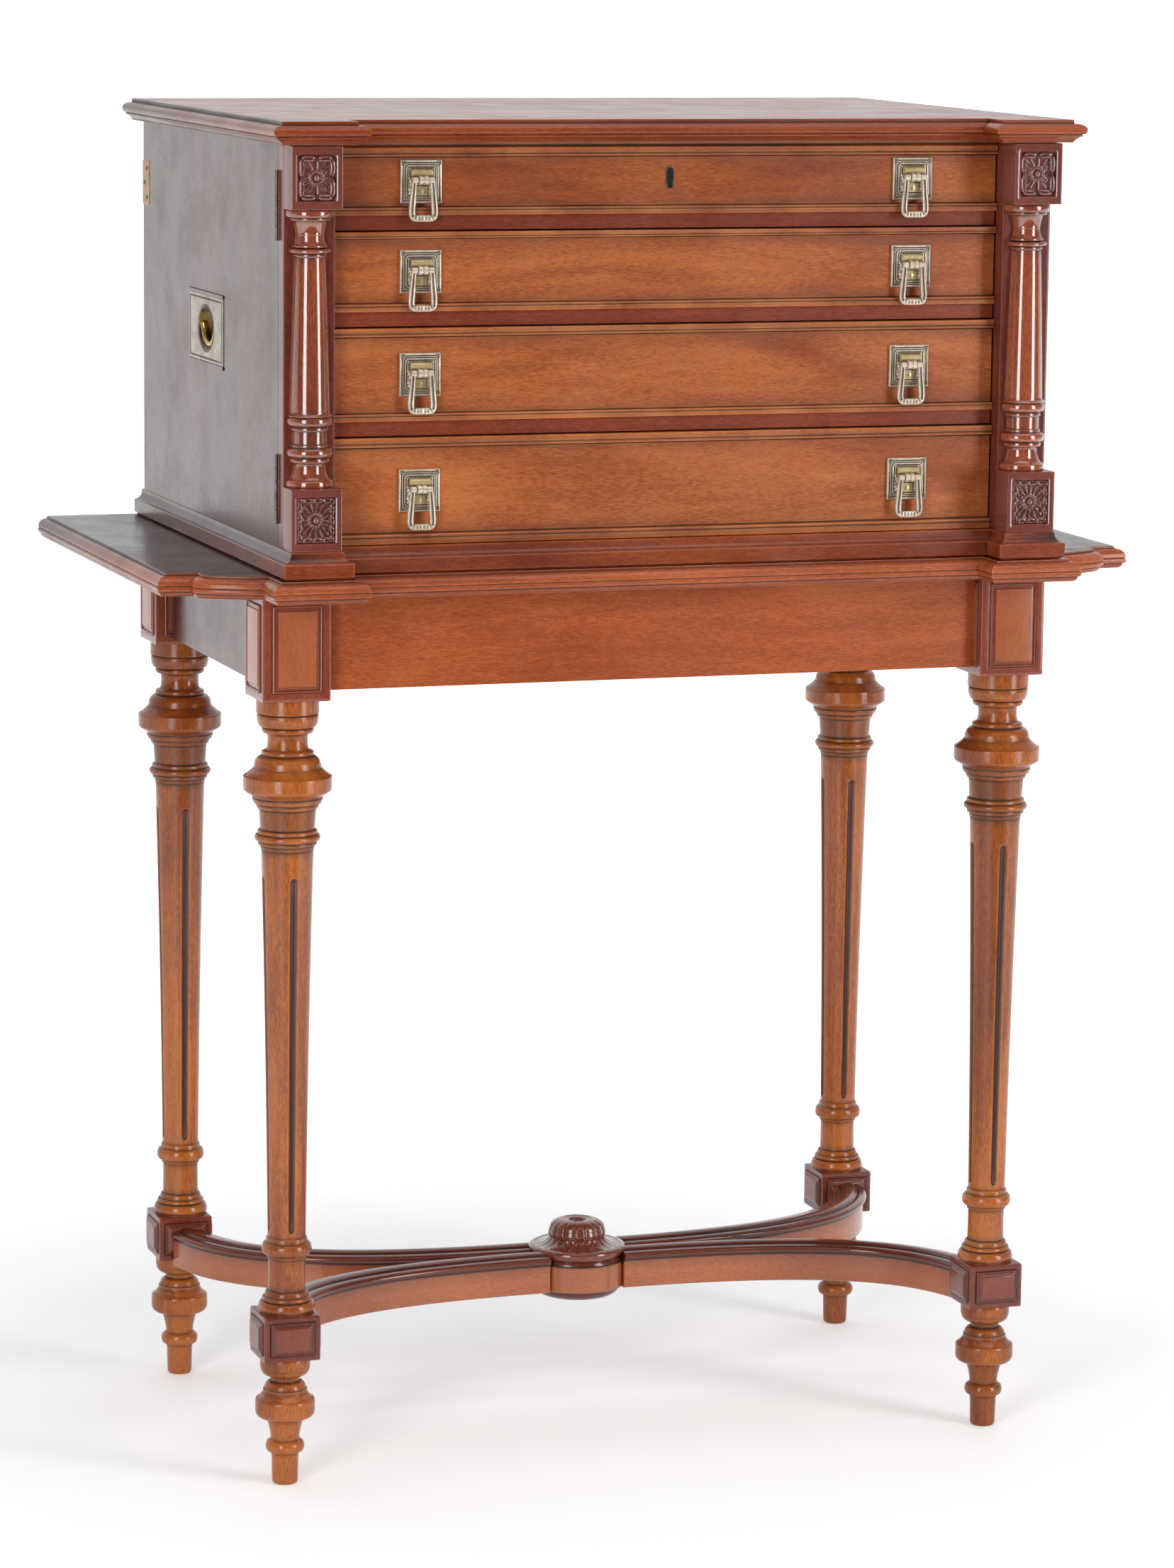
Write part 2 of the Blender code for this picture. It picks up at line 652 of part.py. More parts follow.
def corner_outline(outer_x, inner_x, front, recess, back):
    """Plan of a piece with a projecting corner at each side and a straight back."""
    return both_sides([(inner_x, front + recess), (inner_x, front), (outer_x, front),
                       (outer_x, back)])


def guides(name, top):
    """The two strips, in line with the posts, which keep a drawer straight."""
    start = CASE_FRONT_Y + POST_DEPTH + GAP
    strips = []
    for side in (-1, 1):
        xs = sorted((side * (STILE_IN_X + GAP), side * INNER_HALF))
        strips.append(box(name + "_guide", (xs[0], start, top - BOARD_THICK / 2),
                          (xs[1], BACK_INNER_Y, top + GUIDE_HEIGHT)))
    return strips


def make_plinth():
    """The bottom board with its moulding, a plain fascia under a hollow, and the guides of
    the lowest drawer."""
    low = STAND_TOP_Z + GAP
    front = BLOCK_FRONT_Y - PLINTH_OUT
    outline = corner_outline(CASE_HALF_WIDTH + PLINTH_OUT, STILE_IN_X - PLINTH_OUT - RUN,
                             front, PLINTH_RECESS, CASE_BACK_Y + PLINTH_OUT)
    hollow = CASE_FLOOR_Z - low - PLINTH_FASCIA
    edge = [(out, drop * hollow / (CASE_FLOOR_Z - low)) for out, drop in PLINTH_EDGE_SHARES]
    edge.append((0, 1))
    plinth = moulded_slab("case_plinth", outline, set(), edge, CASE_FLOOR_Z,
                          CASE_FLOOR_Z - low, PLINTH_OUT)
    plinth = joined(plinth, *guides("case_plinth", CASE_FLOOR_Z))
    polished(plinth, WOOD_RED)
    seat(plinth, (0, 0, low))


def make_lid():
    """The lid: a thin flat top over a round-nosed edge and a small cove. Its corners project
    over the stiles. It turns on its back hinges."""
    outer = CASE_HALF_WIDTH + LID_OUT - LID_MOULD
    front = BLOCK_FRONT_Y - LID_EDGE_OVER_STILE
    outline = corner_outline(outer, outer - LID_CORNER_WIDTH, front, LID_RECESS, BACK_Y)
    lid = moulded_slab("lid", outline, {len(outline) - 1}, LID_EDGE_SHARES, LID_TOP_Z,
                       LID_THICK, LID_MOULD)
    polished(lid, WOOD_PALE)
    return lid


def lid_axis():
    """The middle of the lid's hinge line, behind the case and under the lid's back edge."""
    return (0, CASE_BACK_Y + LID_HINGE_RADIUS + GAP + RUN, LID_Z - LID_HINGE_RADIUS - GAP)


def make_sides():
    """Side boards with a post behind each stile, notched for the stile hinges and sunk for
    the flush handles."""
    low = CASE_FLOOR_Z + GAP
    inner = CASE_HALF_WIDTH - SIDE_THICK
    for name, side in (("case_side_left", -1), ("case_side_right", 1)):
        outline = [(CASE_HALF_WIDTH, CASE_FRONT_Y), (CASE_HALF_WIDTH, CASE_BACK_Y),
                   (inner, CASE_BACK_Y), (inner, CASE_FRONT_Y + POST_DEPTH),
                   (inner - POST_WIDTH, CASE_FRONT_Y + POST_DEPTH),
                   (inner - POST_WIDTH, CASE_FRONT_Y)]
        board = prism(name, [(x * side, y) for x, y in outline], "Z", low, CASE_TOP_Z)
        for z in (STILE_HINGE_LOW_Z, STILE_HINGE_HIGH_Z):
            half = HINGE_LENGTH / 2 + GAP
            xs = sorted((side * (CASE_HALF_WIDTH + CUT),
                         side * (CASE_HALF_WIDTH - HINGE_LEAF_WIDTH - GAP)))
            notch = box(name + "_notch", (xs[0], CASE_FRONT_Y - CUT, z - half),
                        (xs[1], CASE_FRONT_Y + HINGE_LEAF + GAP, z + half), CUTTERS)
            cut_by(board, notch)
        flat = plate_box(name + "_pocket", side, GAP, CUT, CUTTERS)
        cut_by(board, flat)
        bowl = oval(name + "_bowl", side, BOWL_WALL + GAP, BOWL_DEPTH + BOWL_WALL + GAP, CUT,
                    CUTTERS)
        cut_by(board, bowl)
        polished(board, WOOD_RED)
        seat(board, (side * CASE_HALF_WIDTH, CASE_FRONT_Y, low))


def plate_box(name, side, spare, proud, collection=PARTS):
    """The flush plate's own box in one side of the case, larger all round by spare."""
    xs = sorted((side * (CASE_HALF_WIDTH + proud), side * (CASE_HALF_WIDTH - FLUSH_THICK - spare)))
    half_y = FLUSH_WIDTH / 2 + spare
    half_z = FLUSH_HEIGHT / 2 + spare
    return box(name, (xs[0], FLUSH_Y - half_y, FLUSH_Z - half_z),
               (xs[1], FLUSH_Y + half_y, FLUSH_Z + half_z), collection)


def oval(name, side, spare, depth, proud, collection=PARTS):
    """The oval of the flush bowl, larger all round by spare, sunk into a side of the case."""
    piece = cylinder(name, 1.0, (side * (CASE_HALF_WIDTH + proud), 0, 0),
                     (side * (CASE_HALF_WIDTH - depth), 0, 0), BOWL_SIDES, collection)
    piece.data.transform(Matrix.Diagonal((1, BOWL_HALF_WIDTH + spare, BOWL_HALF_HEIGHT + spare, 1)))
    piece.data.transform(Matrix.Translation((0, FLUSH_Y, FLUSH_Z)))
    return piece


def make_back():
    low = CASE_FLOOR_Z + GAP
    back = box("case_back", (-INNER_HALF, CASE_BACK_Y - BACK_THICK, low),
               (INNER_HALF, CASE_BACK_Y, CASE_TOP_Z))
    for side in (-1, 1):
        half = HINGE_LENGTH / 2 + GAP
        notch = box("case_back_notch", (side * LID_HINGE_X - half, CASE_BACK_Y - BACK_THICK - CUT,
                                        CASE_TOP_Z - HINGE_LEAF - GAP),
                    (side * LID_HINGE_X + half, CASE_BACK_Y + CUT, CASE_TOP_Z + CUT), CUTTERS)
        cut_by(back, notch)
    polished(back, WOOD_RED)
    seat(back, (0, CASE_BACK_Y, low))


def make_rails():
    """Three rails with the dust boards behind them: a thick front edge, notched round the
    posts, a thin board flush with its top, and the guides of the drawer above."""
    front = CASE_FRONT_Y + RAIL_SET_BACK
    post_back = CASE_FRONT_Y + POST_DEPTH + GAP
    plan = both_sides([(BAY_HALF - GAP, front), (BAY_HALF - GAP, post_back),
                       (INNER_HALF, post_back), (INNER_HALF, BACK_INNER_Y)])
    for name, z in (("rail_low", RAIL_LOW_Z), ("rail_middle", RAIL_MID_Z),
                    ("rail_high", RAIL_HIGH_Z)):
        top = z + RAIL_THICK
        board = prism(name, plan, "Z", top - BOARD_THICK, top)
        strip = box(name + "_edge", (GAP - BAY_HALF, front, z),
                    (BAY_HALF - GAP, front + RAIL_DEPTH, top))
        spare = guides(name, top) if name != "rail_high" else []
        rail = joined(board, strip, *spare)
        polished(rail, WOOD_RED)
        seat(rail, (0, front, z))


def front_section(low, high):
    """Section of a drawer front, as (y, z): a flat panel between two rounded beads."""
    face = CASE_FRONT_Y
    fillet = BEAD_HEIGHT / 5
    back = face + FRONT_THICK
    top_bead = [(BEAD_Y + fillet, high), (BEAD_Y, high - fillet),
                (BEAD_Y, high - BEAD_HEIGHT + fillet * 2),
                (BEAD_Y + fillet, high - BEAD_HEIGHT + fillet),
                (face, high - BEAD_HEIGHT)]
    low_bead = [(y, low + high - z) for y, z in reversed(top_bead)]
    return [(back, low), (back, high)] + top_bead + low_bead


def make_drawers():
    """Three drawers. The front stops just inside the stiles, so it slides past them."""
    bays = (("drawer_low", CASE_FLOOR_Z, RAIL_LOW_Z),
            ("drawer_middle", RAIL_LOW_Z + RAIL_THICK, RAIL_MID_Z),
            ("drawer_high", RAIL_MID_Z + RAIL_THICK, RAIL_HIGH_Z))
    for name, floor, ceiling in bays:
        low = floor + DRAWER_LIFT
        high = ceiling - DRAWER_TOP_CLEAR
        front = prism(name + "_front", front_section(low, high), "X", -FRONT_HALF, FRONT_HALF)
        polished(front, WOOD_PALE)
        start = CASE_FRONT_Y + FRONT_THICK + GAP
        half = FRONT_HALF - BOX_SIDE_CLEAR
        shell = open_box(name + "_box", (-half, start, low),
                         (half, BACK_INNER_Y - BOX_BACK_CLEAR, high - BOX_TOP_CLEAR))
        finish(shell, WOOD_BOX, 0.6)
        runner = axis_empty(name + "_slide", (0, CASE_FRONT_Y, low))
        seat(front, (0, CASE_FRONT_Y, low))
        seat(shell, (0, start, low))
        carry(runner, front, shell)
        for side, hand in ((-1, "left"), (1, "right")):
            make_handle(name + "_" + hand, side * HANDLE_X, (low + high) / 2, runner)


def open_box(name, low, high):
    """A drawer's box, open at the top."""
    bm = bmesh.new()
    size = Vector(high) - Vector(low)
    bmesh.ops.create_cube(bm, size=1.0)
    bmesh.ops.scale(bm, vec=size, verts=bm.verts)
    bmesh.ops.translate(bm, vec=(Vector(high) + Vector(low)) / 2, verts=bm.verts)
    bm.normal_update()
    lid_face = max(bm.faces, key=lambda f: f.normal.z)
    bmesh.ops.inset_individual(bm, faces=[lid_face], thickness=BOX_WALL)
    sunk = bmesh.ops.extrude_face_region(bm, geom=[lid_face])["geom"]
    verts = [v for v in sunk if isinstance(v, bmesh.types.BMVert)]
    bmesh.ops.translate(bm, vec=(0, 0, BOX_BOTTOM - size.z), verts=verts)
    bmesh.ops.delete(bm, geom=[lid_face], context="FACES")
    bmesh.ops.recalc_face_normals(bm, faces=bm.faces)
    return add_mesh(name, bm)


def make_top_front():
    """The fixed front of the tray under the lid, which holds the lid's lock."""
    low = RAIL_HIGH_Z + RAIL_THICK + GAP
    high = CASE_TOP_Z
    section = front_section(low, high - TOP_FRONT_LIP)
    section[0:2] = [(CASE_FRONT_Y + FRONT_THICK, low), (CASE_FRONT_Y + FRONT_THICK, high),
                    (CASE_FRONT_Y, high), (CASE_FRONT_Y, high - TOP_FRONT_LIP)]
    front = prism("top_front", section, "X", GAP - BAY_HALF, BAY_HALF - GAP)
    polished(front, WOOD_PALE)
    seat(front, (0, CASE_FRONT_Y, low))
    for side, hand in ((-1, "left"), (1, "right")):
        make_handle("top_" + hand, side * HANDLE_X, (low + high - TOP_FRONT_LIP) / 2, None)


# Stiles and columns

def stile_axis(side, z):
    return (side * (CASE_HALF_WIDTH + HINGE_RADIUS + GAP), CASE_FRONT_Y - GAP / 2, z)


def make_stiles():
    """Each stile is a board with a carved block at each end and a half column between."""
    low = CASE_FLOOR_Z + GAP
    high = CASE_TOP_Z - GAP
    back = CASE_FRONT_Y - GAP
    low_top = low + LOW_CARVED_HEIGHT
    high_low = high - HIGH_CARVED_HEIGHT
    section = [(back, low), (back, high), (BLOCK_FRONT_Y, high), (BLOCK_FRONT_Y, high_low),
               (STILE_FRONT_Y, high_low), (STILE_FRONT_Y, low_top), (BLOCK_FRONT_Y, low_top),
               (BLOCK_FRONT_Y, low)]
    length = high_low - low_top - GAP * 2
    for hand, side in (("left", -1), ("right", 1)):
        xs = sorted((side * STILE_IN_X, side * CASE_HALF_WIDTH))
        stile = prism("stile_" + hand, section, "X", xs[0], xs[1])
        polished(stile, WOOD_RED)
        middle = side * (STILE_IN_X + CASE_HALF_WIDTH) / 2
        profile = scaled(COLUMN_SHARES, COLUMN_RADIUS, high_low - GAP, length)
        column = turned("column_" + hand, profile, COLUMN_SIDES, middle, STILE_FRONT_Y - GAP)
        halve(column, STILE_FRONT_Y - GAP)
        polished(column, WOOD_RED)
        hinge = axis_empty("stile_axis_" + hand, stile_axis(side, low))
        seat(stile, stile_axis(side, low))
        seat(column, (middle, STILE_FRONT_Y - GAP, low_top + GAP))
        carry(hinge, stile, column)


def halve(piece, plane_y):
    """Keeps the front half of a turned piece and closes its back."""
    bm = bmesh.new()
    bm.from_mesh(piece.data)
    geometry = bm.verts[:] + bm.edges[:] + bm.faces[:]
    bmesh.ops.bisect_plane(bm, geom=geometry, dist=GAP / 30, plane_co=(0, plane_y, 0),
                           plane_no=(0, 1, 0), clear_outer=True)
    rim = [e for e in bm.edges if e.is_boundary]
    bmesh.ops.holes_fill(bm, edges=rim, sides=0)
    bmesh.ops.recalc_face_normals(bm, faces=bm.faces)
    bm.to_mesh(piece.data)
    bm.free()


# Brass

def make_hinges():
    """Butt hinges: the barrel with its pin, and the leaf let into the carcase."""
    half = HINGE_LENGTH / 2
    for hand, side in (("left", -1), ("right", 1)):
        for level, z in (("low", STILE_HINGE_LOW_Z), ("high", STILE_HINGE_HIGH_Z)):
            name = "stile_hinge_" + hand + "_" + level
            axis = Vector(stile_axis(side, z))
            barrel = cylinder(name, HINGE_RADIUS, axis - Vector((0, 0, half)),
                              axis + Vector((0, 0, half)), HINGE_SIDES)
            xs = sorted((axis.x, side * (CASE_HALF_WIDTH - HINGE_LEAF_WIDTH)))
            leaf = box(name + "_leaf", (xs[0], CASE_FRONT_Y, z - half),
                       (xs[1], CASE_FRONT_Y + HINGE_LEAF, z + half))
            hinge = joined(barrel, leaf)
            brass(hinge)
            seat(hinge, axis)
        name = "lid_hinge_" + hand
        axis = Vector(lid_axis()) + Vector((side * LID_HINGE_X, 0, 0))
        barrel = cylinder(name, LID_HINGE_RADIUS, axis - Vector((half, 0, 0)),
                          axis + Vector((half, 0, 0)), HINGE_SIDES)
        leaf = box(name + "_leaf", (axis.x - half, CASE_BACK_Y - BACK_THICK, CASE_TOP_Z - HINGE_LEAF),
                   (axis.x + half, axis.y, CASE_TOP_Z))
        hinge = joined(barrel, leaf)
        brass(hinge)
        seat(hinge, axis)


def wire_loop(name, points, wire, pivot):
    """A bent rod through the points round its pivot, with closed ends."""
    curve = bpy.data.curves.new(name, "CURVE")
    curve.dimensions = "3D"
    curve.bevel_depth = wire
    curve.bevel_resolution = 2
    curve.use_fill_caps = True
    spline = curve.splines.new("POLY")
    spline.points.add(len(points) - 1)
    for place, point in zip(spline.points, points):
        place.co = (*point, 1)
    piece = bpy.data.objects.new(name, curve)
    PARTS.objects.link(piece)
    bpy.context.view_layer.update()
    rod = baked(piece)
    bm = bmesh.new()
    bm.from_mesh(rod.data)
    bmesh.ops.recalc_face_normals(bm, faces=bm.faces)
    bm.to_mesh(rod.data)
    bm.free()
    rod.data.shade_smooth()
    rod.data.set_sharp_from_angle(angle=math.radians(40))
    rod.location = pivot
    return rod


def bail_points(stub):
    """A hanging bail seen from the front, as (across, 0, up): in from its pivot ends, down
    and outwards, and round the two lower corners."""
    bend = BAIL_WIRE
    half = [(stub, 0), (BAIL_HALF_TOP - bend / 2, 0), (BAIL_HALF_TOP, -bend),
            (BAIL_HALF_FOOT, bend * 2 - BAIL_DROP),
            (BAIL_HALF_FOOT - bend / 2, bend / 2 - BAIL_DROP),
            (BAIL_HALF_FOOT - bend * 2, -BAIL_DROP)]
    return [(a, 0, b) for a, b in half + [(-a, b) for a, b in reversed(half)]]


def make_handle(name, x, z, runner):
    """A square plate with a raised field and a boss, and the drop handle that hangs on it."""
    face = CASE_FRONT_Y - GAP
    half = HANDLE_PLATE / 2
    plate = raised_block(name + "_plate", (x - half, face - HANDLE_THICK, z - half),
                         (x + half, face, z + half), ((0, -1, 0),), HANDLE_MARGIN,
                         HANDLE_FIELD_BEVEL, HANDLE_FIELD)
    field = face - HANDLE_THICK - HANDLE_FIELD
    pivot_z = z + PIVOT_RISE
    knob = BOSS_WIDTH / 2
    boss = box(name + "_boss", (x - knob, face - BOSS_REACH, pivot_z - knob),
               (x + knob, field + HANDLE_FIELD, pivot_z + knob))
    plate = joined(plate, boss)
    brass(plate)
    pivot_y = face - BOSS_REACH + knob
    seat(plate, (x, face, z))
    bail = wire_loop(name + "_bail", bail_points(knob + GAP), BAIL_WIRE, (x, pivot_y, pivot_z))
    brass(bail)
    if runner:
        carry(runner, plate, bail)


def ring_points():
    """The half ring that hangs in the flush bowl, as (0, along, up), between its two pins."""
    half_width = BOWL_HALF_WIDTH - RING_CLEAR - RING_WIRE
    drop = BOWL_HALF_HEIGHT + RING_RISE - RING_CLEAR - RING_WIRE
    points = [(half_width + RING_WIRE, 0)]
    for step in range(RING_STEPS + 1):
        turn = math.pi * step / RING_STEPS
        points.append((half_width * math.cos(turn), -drop * math.sin(turn)))
    points.append((-points[0][0], 0))
    return [(0, a, b) for a, b in points]


def make_flush_handles():
    """A plate with a sunk oval bowl in each side, and the half ring that hangs in it."""
    for hand, side in (("left", -1), ("right", 1)):
        name = "flush_" + hand
        flat = plate_box(name + "_plate", side, 0, 0)
        cup = oval(name + "_cup", side, BOWL_WALL, BOWL_DEPTH + BOWL_WALL, 0)
        plate = joined(flat, cup)
        cut_by(plate, oval(name + "_hollow", side, 0, BOWL_DEPTH, CUT, CUTTERS))
        brass(plate)
        seat(plate, (side * CASE_HALF_WIDTH, FLUSH_Y, FLUSH_Z))
        pivot = (side * (CASE_HALF_WIDTH - RING_SUNK - RING_WIRE), FLUSH_Y, FLUSH_Z + RING_RISE)
        ring = wire_loop(name + "_ring", ring_points(), RING_WIRE, pivot)
        brass(ring)


def build():
    make_stand_top()
    make_aprons()
    for name, right, back in (("front_left", -1, -1), ("front_right", 1, -1),
                              ("back_left", -1, 1), ("back_right", 1, 1)):
        make_leg("leg_" + name, right, back)
    make_stretcher()
    make_plinth()
    make_sides()
    make_back()
    make_rails()
    make_top_front()
    make_drawers()
    make_stiles()
    make_hinges()
    make_flush_handles()
    lid = make_lid()
    hinge = axis_empty("lid_axis", lid_axis())
    seat(lid, lid_axis())
    carry(hinge, lid)


build()
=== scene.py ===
"""Cutlery cabinet of polished mahogany on a stand with fluted legs: its looks over the CAD frame.

Metres, +Z up, the front towards -Y. Outlines, sections and carvings are written in millimetres,
and MM makes them metres. A surface is a pair: its points as an array (point, 3), and its faces as
a list of arrays (face, corner) of point numbers. A third value, where there is one, marks points.
"""

import json
import math

import bpy
import numpy as np
from mathutils import Matrix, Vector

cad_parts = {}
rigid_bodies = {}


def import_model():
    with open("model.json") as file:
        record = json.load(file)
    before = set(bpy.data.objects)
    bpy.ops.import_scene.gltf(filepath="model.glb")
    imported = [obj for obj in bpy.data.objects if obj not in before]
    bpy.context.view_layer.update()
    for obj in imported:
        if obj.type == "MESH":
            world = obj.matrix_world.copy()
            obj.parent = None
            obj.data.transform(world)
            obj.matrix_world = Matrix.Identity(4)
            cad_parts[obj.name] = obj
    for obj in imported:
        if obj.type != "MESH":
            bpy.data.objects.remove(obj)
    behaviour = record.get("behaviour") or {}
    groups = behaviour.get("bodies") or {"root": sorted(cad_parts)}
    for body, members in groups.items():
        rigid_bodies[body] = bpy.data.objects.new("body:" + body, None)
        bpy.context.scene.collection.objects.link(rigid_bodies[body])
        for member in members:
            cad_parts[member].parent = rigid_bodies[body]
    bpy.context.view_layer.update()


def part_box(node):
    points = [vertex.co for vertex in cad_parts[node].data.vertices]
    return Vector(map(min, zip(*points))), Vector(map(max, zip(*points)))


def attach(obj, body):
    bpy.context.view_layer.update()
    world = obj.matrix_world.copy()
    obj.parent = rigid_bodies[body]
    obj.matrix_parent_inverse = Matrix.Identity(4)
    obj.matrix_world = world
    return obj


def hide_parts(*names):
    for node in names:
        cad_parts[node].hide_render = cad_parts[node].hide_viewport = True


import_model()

MM = 0.001
ROOT = "stand_and_case"
SIDES = (("left", -1), ("right", 1))

# Picture: the photograph's frame and the camera that fits it
PICTURE_HEIGHT = 2212
FOCAL_PIXELS = 7637.5
CAMERA_PLACE = (-1.3300, -3.9703, 1.1801)
CAMERA_YAW = 18.534
CAMERA_PITCH = 9.243
CAMERA_ROLL = -0.629
SENSOR = 36.0
FLOOR_FRONT_Y = -1.7


# Surfaces

def grid_faces(rows, columns, ring_rows=False, ring_columns=False):
    """Four-sided faces between the points of a grid; a ring joins its last row or column to the first."""
    r = np.arange(rows if ring_rows else rows - 1)
    c = np.arange(columns if ring_columns else columns - 1)
    r, c = np.meshgrid(r, c, indexing="ij")
    down = (r + 1) % rows
    along = (c + 1) % columns
    corners = (r * columns + c, r * columns + along, down * columns + along, down * columns + c)
    return np.stack(corners, axis=-1).reshape(-1, 4)


def outward(points, faces):
    """Turn a closed surface round if its volume, the sum of its fans' triple products, is negative."""
    volume = 0.0
    for block in faces:
        first = points[block[:, 0]]
        for corner in range(1, block.shape[1] - 1):
            turn = np.cross(points[block[:, corner]], points[block[:, corner + 1]])
            volume += float(np.einsum("ij,ij->", first, turn))
    if volume < 0:
        faces = [block[:, ::-1] for block in faces]
    return points, faces


def skinned(rings, closed=False):
    """Skin a stack of rings, an array (ring, point, 3), with a flat face at each end, or end to end."""
    rows, columns = rings.shape[:2]
    faces = [grid_faces(rows, columns, closed, True)]
    if not closed:
        faces.append(np.arange(columns)[None, ::-1])
        faces.append((rows - 1) * columns + np.arange(columns)[None])
    return outward(rings.reshape(-1, 3), faces)


def traced(start, *steps, fine=7):
    """Trace a moulding from its start, as (out, height) pairs in mm given back in metres.

    A step is (kind, out, height) and, for a bead or hollow, its rise. With t from 0 to 1: a
    fillet is straight; a bead adds rise x sin(pi t) to the straight line, a hollow takes it off;
    an ovolo is out by sin(pi t / 2) and along by 1 - cos; a cove is the reverse; an ogee is out
    by (1 - cos(pi t)) / 2.
    """
    path = [np.array([start], float)]
    for kind, out, height, *rise in steps:
        out_0, height_0 = path[-1][-1]
        t = np.linspace(0, 1, 2 if kind == "fillet" else fine + 1)
        length = math.hypot(out - out_0, height - height_0)
        if length > 3.2 and kind in ("fillet", "bead", "hollow"):
            close = np.array([0.6, 1.4]) / length
            if kind != "fillet":
                close = np.arccos(1 - 2 * close) / math.pi
            t = np.unique(np.concatenate([t, close, 1 - close]))
        t = t[1:]
        quarter = t * math.pi / 2
        out_by, height_by = t, t
        bulge = 0.0
        if kind in ("bead", "hollow"):
            height_by = (1 - np.cos(math.pi * t)) / 2
            out_by = height_by
            bulge = rise[0] * np.sin(math.pi * t) * (1 if kind == "bead" else -1)
        elif kind == "ovolo":
            out_by, height_by = np.sin(quarter), 1 - np.cos(quarter)
        elif kind == "cove":
            out_by, height_by = 1 - np.cos(quarter), np.sin(quarter)
        elif kind == "ogee":
            out_by = (1 - np.cos(math.pi * t)) / 2
        outs = out_0 + (out - out_0) * out_by + bulge
        path.append(np.stack([outs, height_0 + (height - height_0) * height_by], axis=-1))
    return np.concatenate(path) * MM


def turned(x, y, section, sides=64, carve=None):
    """Spin a section, (radius, height) pairs, round an upright axis.

    carve(angle, height) comes off the radius, and what is carved is marked.
    """
    angle = np.arange(sides)[None] * math.tau / sides
    height = np.repeat(section[:, 1:], sides, axis=1)
    cut = carve(angle, height) if carve else 0 * height
    radius = section[:, :1] - cut
    surface = skinned(np.stack([x + radius * np.cos(angle), y + radius * np.sin(angle), height], axis=-1))
    return surface + (np.clip(cut.ravel() / (0.8 * MM), 0, 1),)


def with_corner_points(outline, margin=1.6 * MM):
    """Add a point close to each end of an outline's long sides, and say which corner each goes with."""
    points, owners = [], []
    for corner, here in enumerate(outline):
        after = outline[(corner + 1) % len(outline)]
        length = np.linalg.norm(after - here)
        points.append(here)
        owners.append(corner)
        if length > 5 * margin:
            along = (after - here) * margin / length
            points += [here + along, after - along]
            owners += [corner, (corner + 1) % len(outline)]
    return np.array(points), np.array(owners)


def mitred(outline, section, reach):
    """Carry a section, (out, height) pairs, round a closed outline with mitred corners.

    A corner moves by M x out, where M solves N1.M = reach1 and N2.M = reach2 for the outward
    normals of its two sides; on a straight run M is the normal times its reach. Points close
    to a corner move with it, so that the edge marks, wear and painted highlight, stay at the corner.
    """
    run = np.roll(outline, -1, axis=0) - outline
    normal = np.stack([run[:, 1], -run[:, 0]], axis=-1) / np.linalg.norm(run, axis=1)[:, None]
    before = np.roll(normal, 1, axis=0)
    reach_before = np.roll(reach, 1)
    cross = before[:, 0] * normal[:, 1] - before[:, 1] * normal[:, 0]
    straight = np.abs(cross) < 0.02
    safe = np.where(straight, 1.0, cross)
    move = np.stack([(reach_before * normal[:, 1] - reach * before[:, 1]) / safe,
                     (before[:, 0] * reach - normal[:, 0] * reach_before) / safe], axis=-1)
    move = np.where(straight[:, None], normal * reach[:, None], move)
    points, owners = with_corner_points(outline)
    flat = points[None] + move[owners][None] * section[:, None, :1]
    height = np.broadcast_to(section[:, None, 1:], flat.shape[:2] + (1,))
    return skinned(np.concatenate([flat, height], axis=-1))


def sides_marked(surface, half, front, top):
    """Mark what looks to the left or right, or lies above a height, for a darker greyed tone: a painted
    reflection of the grey sheen these faces show.
    """
    x, y, z = surface[0].T
    beside = (np.abs(x) > half - 8 * MM) & (y > front + 3 * MM)
    return surface + (np.where(beside | (z > top), 1.0, 0.0),)


def swept(path, section, fixed):
    """Carry a closed section, (across, along the fixed axis) pairs, down a path that is level to that axis.

    The section may be an array (path point, section point, 2), so that it changes on its way.
    """
    fixed = np.array(fixed, float)
    ahead = np.gradient(path, axis=0)
    across = np.cross(ahead, fixed)
    across /= np.linalg.norm(across, axis=1)[:, None]
    section = np.broadcast_to(section, (len(path),) + section.shape[-2:])
    return skinned(path[:, None] + across[:, None] * section[..., :1] + fixed * section[..., 1:])


def relief(us, vs, height, depth, place):
    """A slab seen from its face: height(u, v) lifts the grid, its rim runs back by depth to a flat back."""
    u, v = np.meshgrid(us, vs)
    rows, columns = u.shape
    face = np.stack(place(u, v, height(u, v)), axis=-1).reshape(-1, 3)
    rim = np.concatenate([np.arange(columns), np.arange(1, rows) * columns + columns - 1,
                          (rows - 1) * columns + np.arange(columns - 2, -1, -1),
                          np.arange(rows - 2, 0, -1) * columns])
    back = np.stack(place(u.ravel()[rim], v.ravel()[rim], np.full(len(rim), -depth)), axis=-1)
    ring = rows * columns + np.arange(len(rim))
    wall = np.stack([np.roll(rim, -1), rim, ring, np.roll(ring, -1)], axis=-1)
    return outward(np.concatenate([face, back]), [grid_faces(rows, columns), wall, ring[None, ::-1]])


def to_front(x, y, z):
    """Axes for a face that looks to the front: across is +X, up is +Z, out is -Y."""
    return lambda u, v, out: (x + u, y - out, z + v)


def to_side(side, x, y, z):
    """Axes for a face that looks to one side: across is -Y or +Y, up is +Z, out is away from the middle."""
    return lambda u, v, out: (x + side * out, y + side * u, z + v)


def spaced(half, *marks):
    """Grid lines from -half to half through each mark and its mirror."""
    return np.array(sorted({-half, half, *marks, *(-mark for mark in marks)}))


def edge_distance(u, v, half_u, half_v):
    """How far a point of a rectangle lies from its nearest side."""
    return np.minimum(half_u - np.abs(u), half_v - np.abs(v))


